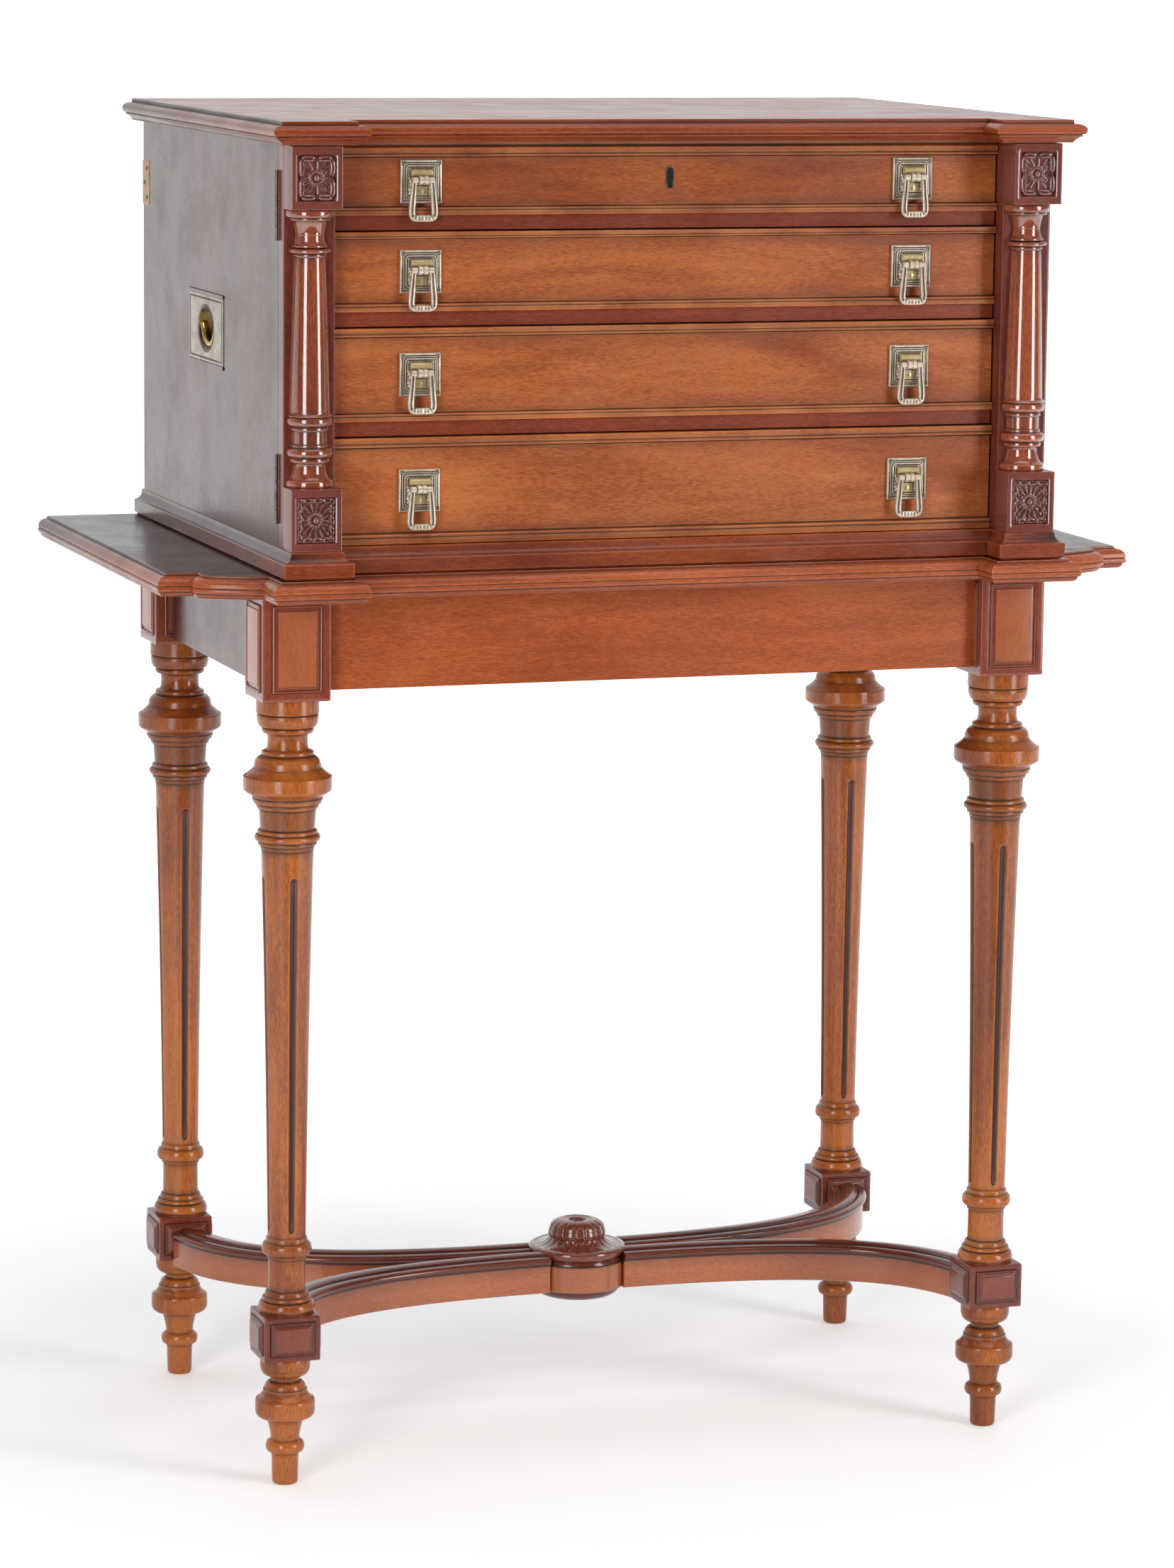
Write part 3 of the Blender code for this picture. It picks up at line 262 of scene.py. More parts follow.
def step_up(distance, start, width):
    """0 before start, 1 after start + width, a smooth 3t^2 - 2t^3 between."""
    t = np.clip((distance - start) / width, 0, 1)
    return t * t * (3 - 2 * t)


def eased(distance, radius):
    """What a rounded edge of that radius takes off at a distance from the side."""
    t = np.clip(1 - distance / radius, 0, 1)
    return radius * (1 - np.sqrt(1 - t * t))


def board(low, high, ease=0.0008):
    """A board with rounded edges: its plan, a rounded rectangle, shrinks by a quarter circle at both ends.

    Points a little way in from every edge keep the edge's marks, wear and painted highlight, at the edge.
    """
    low, high = np.array(low, float), np.array(high, float)
    turn = np.linspace(0, math.pi / 2, 4)
    half = (high - low) / 2
    margin = min(ease + 1.5 * MM, half.min() * 0.9)
    arc = half[:2] - ease + np.stack([np.cos(turn), np.sin(turn)], axis=-1) * ease
    quarter = np.concatenate([[(half[0], half[1] - margin)], arc, [(half[0] - margin, half[1])]])
    flipped = quarter[::-1]
    outline = np.concatenate([quarter, flipped * (-1, 1), -quarter, flipped * (1, -1)])
    rise = ease * (1 - np.cos(turn))
    levels = np.concatenate([[0], rise, [margin]])
    insets = np.concatenate([[margin], ease * (1 - np.sin(turn)), [0]])
    levels = np.concatenate([levels - half[2], half[2] - levels[::-1]])
    insets = np.concatenate([insets, insets[::-1]])
    inner = 1 - insets[:, None, None] / half[:2]
    rings = (low[:2] + high[:2]) / 2 + outline[None] * inner
    height = np.broadcast_to((low[2] + high[2]) / 2 + levels[:, None, None], rings.shape[:2] + (1,))
    return skinned(np.concatenate([rings, height], axis=-1))


def panel_section(distance, margin):
    """A leg block's panel by the distance to its edge, in mm: groove, bead, cove, fillet, flat field."""
    past = distance / MM - margin / MM
    groove = -0.5 * np.exp(-((past - 0.05) / 0.3) ** 2)
    bead = 1.5 * np.sqrt(np.clip(1 - ((past - 1.15) / 0.85) ** 2, 0, 1))
    cove = step_up(past, 1.6, 0.3) * (0.25 + 0.35 * np.clip((past - 3.0) / 1.8, 0, 1) ** 2)
    fillet = 0.55 * step_up(past, 4.5, 0.25)
    line = -0.3 * np.exp(-((past - 4.5) / 0.16) ** 2)
    return (np.maximum(bead, cove + fillet) + groove + line) * MM


def raised_section(distance, margin):
    """A lower block's panel, in mm: a round-nosed step up, a cove and a flat field that stands proud."""
    past = distance / MM - margin / MM
    groove = -0.35 * np.exp(-((past + 0.1) / 0.25) ** 2)
    step = 1.7 * np.sqrt(np.clip(1 - ((1.5 - np.clip(past, 0, 1.5)) / 1.5) ** 2, 0, 1))
    quirk = -0.35 * np.exp(-((past - 1.9) / 0.3) ** 2)
    cove = 1.1 * np.clip((past - 2.0) / 2.6, 0, 1) ** 1.8
    field = 0.35 * step_up(past, 4.7, 0.2)
    return (groove + step + quirk + cove + field) * MM


def panelled_block(x, y, half, low, high, margin, section=panel_section, shrink=1.0, pale=1.0, ease=0.001):
    """A square block with a moulded panel on each side.

    A ring goes round the four sides at each height; a point's distance to its side's edges
    gives its rise. The field is marked pale.
    """
    tall = (high - low) / 2
    past = np.array([-3.0, -0.8, -0.4, -0.1, 0.05, 0.2, 0.32, 0.45, 0.7, 1.15, 1.6, 1.85, 2.0, 2.3, 3.0,
                     3.6, 4.2, 4.4, 4.5, 4.6, 4.75, 5.2]) * MM * shrink
    marks = half - margin - past
    across = spaced(half - ease, *marks)
    up = spaced(tall, tall - ease * 0.3, tall - ease, *(tall - half + m for m in marks))
    v, u = np.meshgrid(up, across, indexing="ij")
    distance = edge_distance(u, v, half, tall)
    out = section((distance - margin) / shrink + margin, margin) * shrink
    field = pale * step_up(distance, margin + 4.4 * MM * shrink, 0.4 * MM)
    inset = eased(tall - np.abs(up), ease)[:, None]
    turn = np.array([22.5, 45, 67.5]) * math.pi / 180
    rings = []
    for quarter in range(4):
        c, s = math.cos(quarter * math.pi / 2), math.sin(quarter * math.pi / 2)
        reach = half + out - inset
        bend = half - ease + ease * np.cos(turn)[None] - inset
        side = half - ease + ease * np.sin(turn)[None] - inset
        reach = np.concatenate([reach, bend], axis=1)
        along = np.concatenate([u * (1 - inset / half), side], axis=1)
        rings.append(np.stack([x + c * reach - s * along, y + s * reach + c * along], axis=-1))
    rings = np.concatenate(rings, axis=1)
    height = np.broadcast_to((low + high) / 2 + up[:, None, None], rings.shape[:2] + (1,))
    tone = np.tile(np.concatenate([field, np.zeros((len(up), 3))], axis=1), (1, 4))
    return skinned(np.concatenate([rings, height], axis=-1)) + (tone.ravel(),)


def hollow_and_proud_marks(mesh, spread):
    """Store how hollow and how proud each point is, from the bend of the surface towards its neighbours.

    The bend is n.d / |d| averaged over a point's edges. It spreads to the neighbours, falling by
    e for each 1.1 mm from a hollow and each 0.5 mm from a proud edge, times the spread. The wood
    finishes paint shade into the hollows and a highlight onto the proud edges from these marks,
    along with old polish and wear.
    """
    count = len(mesh.vertices)
    place = np.empty(count * 3)
    normal = np.empty(count * 3)
    ends = np.empty(len(mesh.edges) * 2, int)
    mesh.vertices.foreach_get("co", place)
    mesh.vertices.foreach_get("normal", normal)
    mesh.edges.foreach_get("vertices", ends)
    place, normal, ends = place.reshape(-1, 3), normal.reshape(-1, 3), ends.reshape(-1, 2)
    a = np.concatenate([ends[:, 0], ends[:, 1]])
    b = np.concatenate([ends[:, 1], ends[:, 0]])
    step = place[b] - place[a]
    length = np.linalg.norm(step, axis=1) + 1e-9
    bend = np.einsum("ij,ij->i", normal[a], step) / length
    weight = 1 / (length + 0.3 * MM)
    bend = np.bincount(a, bend * weight, count) / (np.bincount(a, weight, count) + 1e-9)
    kinds = (("hollow", bend * 3.2 - 0.12, 1.1 * MM), ("proud", -bend * 2.4 - 0.1, 0.5 * MM))
    for name, value, reach in kinds:
        value = np.clip(value, 0, 1)
        for _ in range(4):
            np.maximum.at(value, a, value[b] * np.exp(-length / (reach * spread)))
        layer = mesh.attributes.new(name, "FLOAT", "POINT")
        layer.data.foreach_set("value", value.astype(np.float32))


def piece(name, surfaces, material, body, nodes=(), crease=32, spread=1.0):
    """Make one named object of several closed surfaces, mark its hollows and proud edges, and hang it on
    its body.
    """
    points = np.concatenate([surface[0] for surface in surfaces])
    firsts = np.cumsum([0] + [len(surface[0]) for surface in surfaces])
    blocks = [block + first for surface, first in zip(surfaces, firsts) for block in surface[1]]
    corners = np.concatenate([block.ravel() for block in blocks])
    sizes = np.concatenate([np.full(len(block), block.shape[1]) for block in blocks])
    mesh = bpy.data.meshes.new(name)
    mesh.vertices.add(len(points))
    mesh.vertices.foreach_set("co", points.ravel())
    mesh.loops.add(len(corners))
    mesh.loops.foreach_set("vertex_index", corners)
    mesh.polygons.add(len(sizes))
    mesh.polygons.foreach_set("loop_start", np.concatenate([[0], np.cumsum(sizes)[:-1]]))
    mesh.update(calc_edges=True)
    mesh.shade_smooth()
    mesh.set_sharp_from_angle(angle=math.radians(crease))
    hollow_and_proud_marks(mesh, spread)
    if any(len(surface) > 2 for surface in surfaces):
        pale = [surface[2] if len(surface) > 2 else np.zeros(len(surface[0])) for surface in surfaces]
        layer = mesh.attributes.new("pale", "FLOAT", "POINT")
        layer.data.foreach_set("value", np.concatenate(pale).astype(np.float32))
    mesh.materials.append(material)
    thing = bpy.data.objects.new(name, mesh)
    bpy.context.scene.collection.objects.link(thing)
    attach(thing, body)
    if nodes:
        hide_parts(*nodes)
    return thing


# Finishes

class Value:
    """An output of a shader node; Python's operators on it add Math nodes."""

    def __init__(self, finish, socket):
        self.finish = finish
        self.socket = socket

    def by(self, operation, *others, clamp=False):
        terms = {place: term for place, term in enumerate((self, *others))}
        return self.finish.node("Math", {"operation": operation, "use_clamp": clamp}, terms)

    def __add__(self, other):
        return self.by("ADD", other)

    def __mul__(self, other):
        return self.by("MULTIPLY", other)

    def __sub__(self, other):
        return self.by("SUBTRACT", other)

    def __rsub__(self, other):
        return self.by("MULTIPLY", -1).by("ADD", other)

    __radd__ = __add__
    __rmul__ = __mul__

    def held(self):
        return self.by("ADD", 0, clamp=True)

    def between(self, low, high):
        """0 at low, 1 at high, held there outside them."""
        terms = {"Value": self, "From Min": low, "From Max": high}
        return self.finish.node("MapRange", {"clamp": True}, terms)


class Finish:
    """A material, and the one method that adds its nodes."""

    def __init__(self, name, **fixed):
        self.material = bpy.data.materials.new(name)
        self.material.use_nodes = True
        self.tree = self.material.node_tree
        self.shader = self.tree.nodes["Principled BSDF"]
        for socket, value in fixed.items():
            self.shader.inputs[socket.replace("_", " ")].default_value = value

    def node(self, kind, settings=(), inputs=(), output=0):
        """Add a node: its settings first, then the values or links of its sockets."""
        made = self.tree.nodes.new("ShaderNode" + kind)
        for name, value in dict(settings).items():
            setattr(made, name, value)
        for name, value in dict(inputs).items():
            self.join(made.inputs[name], value)
        return Value(self, made.outputs[output])

    def join(self, socket, value):
        """Link a value to a socket, or set a plain number or colour on it."""
        if isinstance(value, Value):
            self.tree.links.new(value.socket, socket)
        else:
            socket.default_value = value

    def feed(self, **inputs):
        for name, value in inputs.items():
            self.join(self.shader.inputs[name.replace("_", " ")], value)

    def place(self, scale):
        """Object coordinates stretched by three scales, per metre."""
        coordinates = self.node("TexCoord", output="Object")
        return self.node("Mapping", {}, {"Vector": coordinates, "Scale": scale})

    def noise(self, scale, detail=3.0, rough=0.55, twist=0.0):
        terms = {"Vector": self.place(scale), "Scale": 1.0, "Detail": detail,
                 "Roughness": rough, "Distortion": twist}
        return self.node("TexNoise", {}, terms)

    def mark(self, name):
        """An attribute of the mesh: 0 where the mesh has none."""
        return self.node("Attribute", {"attribute_name": name}, output="Fac")

    def blend(self, share, first, second):
        """Mix two colours by a share."""
        return self.node("Mix", {"data_type": "RGBA"}, {0: share, 6: first, 7: second}, output=2)

    def bump(self, height, strength, distance):
        terms = {"Height": height, "Strength": strength, "Distance": distance}
        return self.node("Bump", {}, terms)


def rgb(red, green, blue):
    """A colour from its numbers on a screen, 0 to 255, made linear light."""
    share = [c / 255 for c in (red, green, blue)]
    return tuple(c / 12.92 if c <= 0.04045 else ((c + 0.055) / 1.055) ** 2.4 for c in share) + (1,)


def mahogany(name, grain, dark, middle, pale, figure=0.5, gloss=0.25, coat=0.3, field=None, polish_and_shade=1.0,
             wear_and_highlight=0.5):
    """Polished mahogany: soft figure, mottle, short flecks and dark pores along the grain.

    Hollows are darkened, partly with old polish and partly as painted shade; proud edges are made
    pale, partly rubbed wear and partly a painted highlight; and marked parts may have a tone of
    their own: a panel's field, and the greyed sides and tops that are a painted reflection.
    """
    wood = Finish(name, Roughness=gloss, Coat_Weight=coat, Coat_Roughness=0.06,
                  IOR=1.6 if coat >= 0.9 else 1.45, Coat_IOR=1.6 if coat >= 0.9 else 1.5)

    def along(lengthwise, crosswise):
        scale = [crosswise] * 3
        scale[grain] = lengthwise
        return tuple(scale)

    patches = wood.noise(along(3.1, 14), 4, 0.55, 1.0).between(0.32, 0.68)
    mottle = wood.noise(along(13, 115), 3, 0.6, 0.6).between(0.30, 0.70)
    flecks = wood.noise(along(190, 1300), 3, 0.6, 0.15).between(0.36, 0.64)
    pores = wood.noise(along(240, 2600), 1, 0.5).between(0.60, 0.70)
    grime = wood.noise((22, 22, 22), 4, 0.6).between(0.35, 0.75)
    tone = patches * (figure * 0.75) + mottle * 0.16 + flecks * 0.30 + (0.32 - figure * 0.375)
    colour = wood.blend((tone * 1.6).held(), dark, middle)
    colour = wood.blend(((tone - 0.5) * 1.8).held(), colour, pale)
    if field:
        marked = wood.mark("pale")
        colour = wood.blend(marked, colour, wood.blend(tone.held(), *field))
        if coat > 0.8:
            wood.feed(Coat_Weight=coat * (1 - 0.85 * marked))
    colour = wood.blend(pores * 0.5, colour, (dark[0] * 0.3, dark[1] * 0.25, dark[2] * 0.3, 1))
    hollow = wood.mark("hollow")
    proud = wood.mark("proud")
    # Hollows blend towards near black: partly old polish, partly painted shade in creases and recesses.
    deep = (hollow * (1.2 + 0.5 * grime)).held() * polish_and_shade
    colour = wood.blend(deep * 0.94, colour, (0.009, 0.004, 0.003, 1))
    # Proud edges blend towards a pale colour: partly rubbed wear, partly a painted highlight on rounded
    # edges.
    proud_share = (proud * (0.2 + 0.8 * grime)).held()
    second_colour = (min(1, pale[0] * 1.5), min(1, pale[1] * 1.75), min(1, pale[2] * 2.1), 1)
    colour = wood.blend(proud_share * wear_and_highlight, colour, second_colour)
    rough = grime * 0.12 + pores * 0.15 + deep * 0.25 + (gloss - 0.05)
    height = flecks * 0.3 - pores * 0.8 + mottle * 0.3
    wood.feed(Base_Color=colour, Roughness=rough, Normal=wood.bump(height, 0.10, 0.08 * MM))
    return wood.material


def drawer_wood(name):
    """Plain oiled lining wood: long pale and brown streaks with fine pores, a little dusty."""
    wood = Finish(name, IOR=1.45)
    streaks = wood.noise((260, 7, 260), 4, 0.6, 0.2).between(0.3, 0.7)
    lines = wood.noise((1300, 26, 1300), 2, 0.6).between(0.4, 0.66)
    dust = wood.noise((30, 30, 30), 4, 0.6).between(0.4, 0.75)
    colour = wood.blend(streaks, rgb(128, 84, 50), rgb(176, 128, 84))
    colour = wood.blend(lines * 0.4, colour, rgb(92, 56, 34))
    colour = wood.blend(dust * 0.2, colour, rgb(150, 130, 110))
    wood.feed(Base_Color=colour, Roughness=dust * 0.15 + 0.52,
              Normal=wood.bump(streaks * 0.6 - lines, 0.2, 0.15 * MM))
    return wood.material


def brass(name, bright, second_colour, tarnish, rough=0.3, metallic=1.0, field=None):
    """Aged brass: rubbed bright where proud, brown in the hollows, cloudy, specked and finely scratched.

    Marked parts may have colours of their own.
    """
    metal = Finish(name, Metallic=metallic)
    cloud = metal.noise((70, 70, 70), 5, 0.62, 0.4).between(0.34, 0.68)
    specks = metal.noise((620, 620, 620), 3, 0.6).between(0.52, 0.72)
    scratches = metal.noise((240, 240, 2400), 2, 0.5, 0.3).between(0.45, 0.75)
    hollow = metal.mark("hollow")
    proud = metal.mark("proud")
    colour = metal.blend(cloud, bright, second_colour)
    if field:
        colour = metal.blend(metal.mark("pale"), colour, metal.blend(cloud, *field))
    colour = metal.blend(specks * 0.35, colour, tarnish)
    deep = (hollow * 3.0).held()
    colour = metal.blend(deep * 0.95, colour, tarnish)
    proud_share = proud.held()
    shine = tuple(min(1, c * 1.25) for c in bright[:3]) + (1,)
    colour = metal.blend(proud_share * 0.6, colour, shine)
    rough = cloud * 0.12 + specks * 0.12 + deep * 0.3 - proud_share * 0.06 + (rough - 0.02)
    metal.feed(Base_Color=colour, Roughness=rough,
               Normal=metal.bump(cloud * 0.5 - specks * 0.5 + scratches * 0.4, 0.14, 0.05 * MM))
    return metal.material


def painted_hole_shade(name):
    """A near-black sheet in the keyhole: painted shade for the dark inside of the lock, its black varied a
    little by noise.
    """
    metal = Finish(name, Metallic=0.6)
    # The noise named dust only varies the painted black a little.
    dust = metal.noise((900, 900, 900), 3, 0.6).between(0.4, 0.7)
    metal.feed(Base_Color=metal.blend(dust, (0.004, 0.004, 0.004, 1), (0.02, 0.016, 0.012, 1)),
               Roughness=dust * 0.2 + 0.55)
    return metal.material


ORANGE = (rgb(108, 45, 19), rgb(163, 83, 39), rgb(194, 114, 60))
APRON = (rgb(116, 46, 18), rgb(168, 80, 36), rgb(194, 106, 52))
AMBER = (rgb(92, 38, 15), rgb(162, 84, 33), rgb(206, 122, 57))
RUSSET = (rgb(84, 30, 15), rgb(136, 60, 31), rgb(164, 84, 46))
CEDAR = (rgb(110, 45, 23), rgb(166, 81, 44), rgb(202, 112, 70))
GARNET = (rgb(96, 34, 14), rgb(142, 60, 25), rgb(172, 86, 44))
WINE = (rgb(80, 28, 18), rgb(118, 50, 33), rgb(142, 68, 47))
MAROON = (rgb(88, 32, 18), rgb(131, 57, 33), rgb(158, 77, 46))
PURPLE = (rgb(74, 29, 22), rgb(112, 51, 39), rgb(137, 70, 53))
CARVED = (rgb(84, 36, 30), rgb(120, 58, 48), rgb(148, 80, 68))
CARVED_FRAME = (rgb(96, 45, 38), rgb(134, 72, 60))
DEEP = (rgb(70, 26, 15), rgb(106, 44, 27), rgb(132, 64, 40))
DRUM = (rgb(80, 34, 22), rgb(118, 54, 37), rgb(148, 78, 56))
RED = (rgb(86, 34, 18), rgb(147, 68, 38), rgb(188, 98, 58))
# A darker greyed mahogany for faces that look to the side or up: a painted reflection of their grey sheen.
REFLECTION_GREY = (rgb(50, 18, 18), rgb(76, 31, 29), rgb(96, 44, 40))
PANEL = (rgb(92, 36, 24), rgb(136, 63, 42), rgb(166, 86, 58))
PANEL_FIELD = (rgb(138, 66, 34), rgb(196, 112, 62))
FLUTE = (rgb(80, 32, 15), rgb(120, 54, 26))
ARM_SIDE = (rgb(144, 74, 44), rgb(202, 118, 74))
# The tops' and sides' marked field takes the greyed tone, a painted reflection.
WOOD_TOP = mahogany("mahogany_stand_top", 0, *CEDAR, gloss=0.24, coat=0.0, polish_and_shade=0.8, wear_and_highlight=0.8,
                    field=REFLECTION_GREY[:2])
WOOD_LID = mahogany("mahogany_lid", 0, *GARNET, gloss=0.24, coat=0.0, polish_and_shade=0.8, wear_and_highlight=0.8,
                    field=REFLECTION_GREY[:2])
WOOD_PLINTH = mahogany("mahogany_plinth", 0, *RUSSET, gloss=0.24, coat=0.1, polish_and_shade=0.8, wear_and_highlight=0.8,
                       field=REFLECTION_GREY[:2])
WOOD_APRON = mahogany("mahogany_apron", 0, *APRON, figure=0.45, gloss=0.34, coat=0.1)
# The fronts' pale band edges are partly a painted highlight.
WOOD_FRONT = mahogany("mahogany_drawer_front", 0, *ORANGE, figure=0.8, gloss=0.34, coat=0.1, wear_and_highlight=0.9)
WOOD_RAIL = mahogany("mahogany_rail", 0, *MAROON, figure=0.3, gloss=0.3, coat=0.1)
WOOD_UPRIGHT = mahogany("mahogany_upright", 2, *PURPLE, figure=0.4, gloss=0.24, coat=0.1)
WOOD_CARVED = mahogany("mahogany_carved", 2, *CARVED, figure=0.4, gloss=0.12, coat=1.0, polish_and_shade=0.9, wear_and_highlight=0.8,
                       field=CARVED_FRAME)
WOOD_BLOCK = mahogany("mahogany_leg_block", 2, *WINE, figure=0.4, gloss=0.24, polish_and_shade=0.6)
WOOD_PANEL = mahogany("mahogany_leg_panel", 2, *PANEL, figure=0.5, gloss=0.24, field=PANEL_FIELD,
                      polish_and_shade=0.35, wear_and_highlight=0.8)
WOOD_TURNED = mahogany("mahogany_turned", 2, *AMBER, figure=0.75, gloss=0.2, coat=0.05, field=FLUTE)
WOOD_ARM = mahogany("mahogany_stretcher", 0, *DEEP, figure=0.4, gloss=0.18, coat=0.5, field=ARM_SIDE)
WOOD_HUB = mahogany("mahogany_hub", 0, *DRUM, figure=0.4, gloss=0.16, coat=0.8, polish_and_shade=0.8)
WOOD_COLUMN = mahogany("mahogany_column", 2, *RED, figure=0.6, gloss=0.12, coat=1.0)
# Case sides and depthwise aprons take the greyed tone, a painted reflection.
WOOD_SIDE = mahogany("mahogany_side", 2, *REFLECTION_GREY, figure=0.5, gloss=0.26, coat=0.1)
WOOD_DEEP = mahogany("mahogany_depthwise", 1, *REFLECTION_GREY, gloss=0.26, coat=0.1)
LINING = drawer_wood("drawer_lining_oiled")
BRASS = brass("brass_handles", rgb(226, 212, 194), rgb(186, 168, 142), rgb(22, 14, 10), 0.28, 0.5,
              (rgb(214, 194, 146), rgb(176, 152, 102)))
HOLE_SHADE = painted_hole_shade("keyhole_shadow")
# The flush plate's marked bowl takes a dark brown brass: painted shade.
FLUSH_BRASS = brass("brass_flush", rgb(168, 156, 142), rgb(138, 126, 110), rgb(56, 46, 34), 0.26, 0.9,
                    (rgb(112, 90, 50), rgb(74, 57, 30)))
RING_BRASS = brass("brass_ring", rgb(196, 168, 100), rgb(152, 124, 66), rgb(50, 36, 20), 0.24)
DARK_METAL = brass("dark_metal", rgb(118, 108, 98), rgb(84, 74, 64), rgb(26, 22, 18), 0.34)
STRAP_BRASS = brass("brass_strap", rgb(196, 164, 124), rgb(158, 128, 92), rgb(60, 44, 30), 0.42, 0.8)


# Stand

BACK_Y = 232 * MM
RECESS_X, RECESS_Y = 249.0, -197.5
CORNER_X, CORNER_Y = 309.5, -225.5
SHOULDER_Y = -191.0
SHOULDER_WIDTH, SHOULDER_DEPTH = 44.5, 21.0
WING_X, WING_Y = 378.0, -157.0
WING_SLOPE = 2.0
TOP_SECTION = traced(
    (-10, 694), ("fillet", -3.6, 694), ("fillet", -1.8, 694), ("ovolo", -1.0, 693.4),
    ("fillet", -0.9, 692.4), ("fillet", -0.3, 692.1), ("ovolo", 6.2, 686.0), ("fillet", 5.9, 685.4),
    ("fillet", 5.2, 685.1), ("bead", 5.0, 681.2, 1.3), ("fillet", 4.2, 680.9), ("cove", 2.6, 678.2),
    ("fillet", 2.4, 677.5), ("fillet", 0.4, 677.5), ("fillet", -8, 677.5))


def stand_outline():
    """Right half of the stand top's plan, from the middle of the front to the back corner.

    A recess, a square corner, a hollow shoulder and a wing. The shoulder is a superellipse: across
    by 1 - (1 - s)^1.25 while it goes back by s^1.25.
    """
    s = np.linspace(0, 1, 13)
    across = CORNER_X + SHOULDER_WIDTH * (1 - (1 - s) ** 1.25)
    back = SHOULDER_Y + SHOULDER_DEPTH * s ** 1.25
    front = [(0, RECESS_Y), (RECESS_X, RECESS_Y), (RECESS_X, CORNER_Y), (CORNER_X, CORNER_Y)]
    shoulder = np.stack([across, back], axis=-1)
    wing = [(CORNER_X + SHOULDER_WIDTH, WING_Y), (WING_X, WING_Y + WING_SLOPE)]
    return np.concatenate([front, shoulder, wing, [(WING_X, BACK_Y / MM)]]) * MM


def both_halves(half):
    """Close a right half outline with its mirror image, anticlockwise seen from above."""
    mirror = half[::-1] * (-1, 1)
    return np.concatenate([half, mirror[:-1]])


def all_but_back(outline):
    """A reach of 1 for every side but those that lie along the back."""
    after = np.roll(outline, -1, axis=0)
    at_back = (np.abs(outline[:, 1] - BACK_Y) < 1e-6) & (np.abs(after[:, 1] - BACK_Y) < 1e-6)
    return np.where(at_back, 0.0, 1.0)


def make_stand_top():
    outline = both_halves(stand_outline())
    top = mitred(outline, TOP_SECTION, all_but_back(outline))
    top = sides_marked(top, WING_X * MM, WING_Y * MM, 693.9 * MM)
    piece("stand_top_moulded", [top], WOOD_TOP, ROOT, ("stand_top",), spread=0.7)


CAP_SECTION = traced(
    (21.0, 602), ("fillet", 23.4, 601), ("fillet", 23.4, 588.2), ("fillet", 22.0, 587.6),
    ("bead", 20.6, 578.0, 1.5), ("fillet", 18.4, 577.5), ("bead", 18.2, 573.4, 1.1),
    ("fillet", 15.9, 572.7), ("hollow", 16.4, 560.6, 1.2), ("fillet", 18.6, 559.9),
    ("bead", 18.8, 556.6, 0.8), ("fillet", 19.2, 556.0), ("ovolo", 25.0, 548.2), ("fillet", 25.2, 547.6),
    ("hollow", 32.4, 541.3, 0.7), ("ovolo", 33.0, 540.2), ("fillet", 33.0, 531.4), ("ogee", 26.4, 525.4),
    ("fillet", 26.0, 525.0), ("bead", 25.0, 520.8, 0.6), ("fillet", 23.2, 520.3),
    ("bead", 22.4, 516.8, 0.5), ("fillet", 21.2, 516.3), ("fillet", 20.3, 501.4), ("fillet", 22.2, 500.2),
    ("fillet", 22.4, 498.0), ("fillet", 21.8, 497.6), ("bead", 21.8, 492.2, 2.8), ("fillet", 22.0, 491.8),
    ("fillet", 21.8, 489.6), ("fillet", 20.2, 488.8), ("cove", 19.5, 485.5))
ANKLE_SECTION = traced(
    (14.3, 191.6), ("fillet", 15.4, 190.6), ("fillet", 15.8, 187.4), ("fillet", 16.4, 187.0),
    ("bead", 16.4, 178.0, 2.5), ("fillet", 15.2, 177.5), ("fillet", 15.0, 175.4), ("fillet", 14.0, 174.8),
    ("hollow", 14.2, 150.4, 0.2), ("ovolo", 16.6, 146.0), ("fillet", 17.4, 145.6),
    ("bead", 17.8, 142.4, 1.0), ("fillet", 18.8, 141.9), ("bead", 20.2, 134.8, 1.8),
    ("fillet", 20.0, 132.5))
FOOT_SECTION = traced(
    (16.4, 100), ("fillet", 18.2, 98.6), ("bead", 18.4, 89.4, 0.7), ("cove", 12.6, 84.2),
    ("fillet", 11.6, 83.8), ("hollow", 11.0, 79.8, 0.2), ("ovolo", 15.8, 74.2), ("fillet", 16.6, 73.7),
    ("fillet", 16.8, 71.6),
    ("hollow", 21.2, 66.6, 0.5), ("ovolo", 22.5, 64.4), ("fillet", 22.6, 57.0), ("cove", 17.6, 51.6),
    ("fillet", 14.2, 50.6), ("hollow", 11.0, 36.2, 0.6), ("fillet", 11.0, 34.6), ("fillet", 12.0, 33.8),
    ("bead", 12.2, 25.0, 2.6), ("fillet", 10.8, 24.2), ("fillet", 10.2, 21.4), ("fillet", 9.8, 3.0),
    ("cove", 7.6, 0.0))
FLUTE_LOW, FLUTE_HIGH = 195.5 * MM, 465.8 * MM
FLUTE_HALF = 2.4 * MM
FLUTE_DEPTH = 2.3 * MM
SHAFT_RADIUS = 16.5 * MM
SHAFT_LOW, SHAFT_TALL = 190 * MM, 300 * MM
STAND_MIDDLE_Y = 10 * MM
LEG_X = 283.5 * MM
LEG_ROWS = (("front", -152 * MM), ("back", 172 * MM))
TOP_BLOCK_HALF = 25.85 * MM
TOP_BLOCK_LOW, TOP_BLOCK_HIGH = 599 * MM, 677.5 * MM
TOP_BLOCK_MARGIN = 6.6 * MM
LOW_BLOCK_X = 284.5 * MM
LOW_BLOCK_HALF = 21.6 * MM
LOW_BLOCK_LOW, LOW_BLOCK_HIGH = 99 * MM, 133.5 * MM
LOW_BLOCK_MARGIN = 4.6 * MM
LOW_BLOCK_SHRINK = 0.85


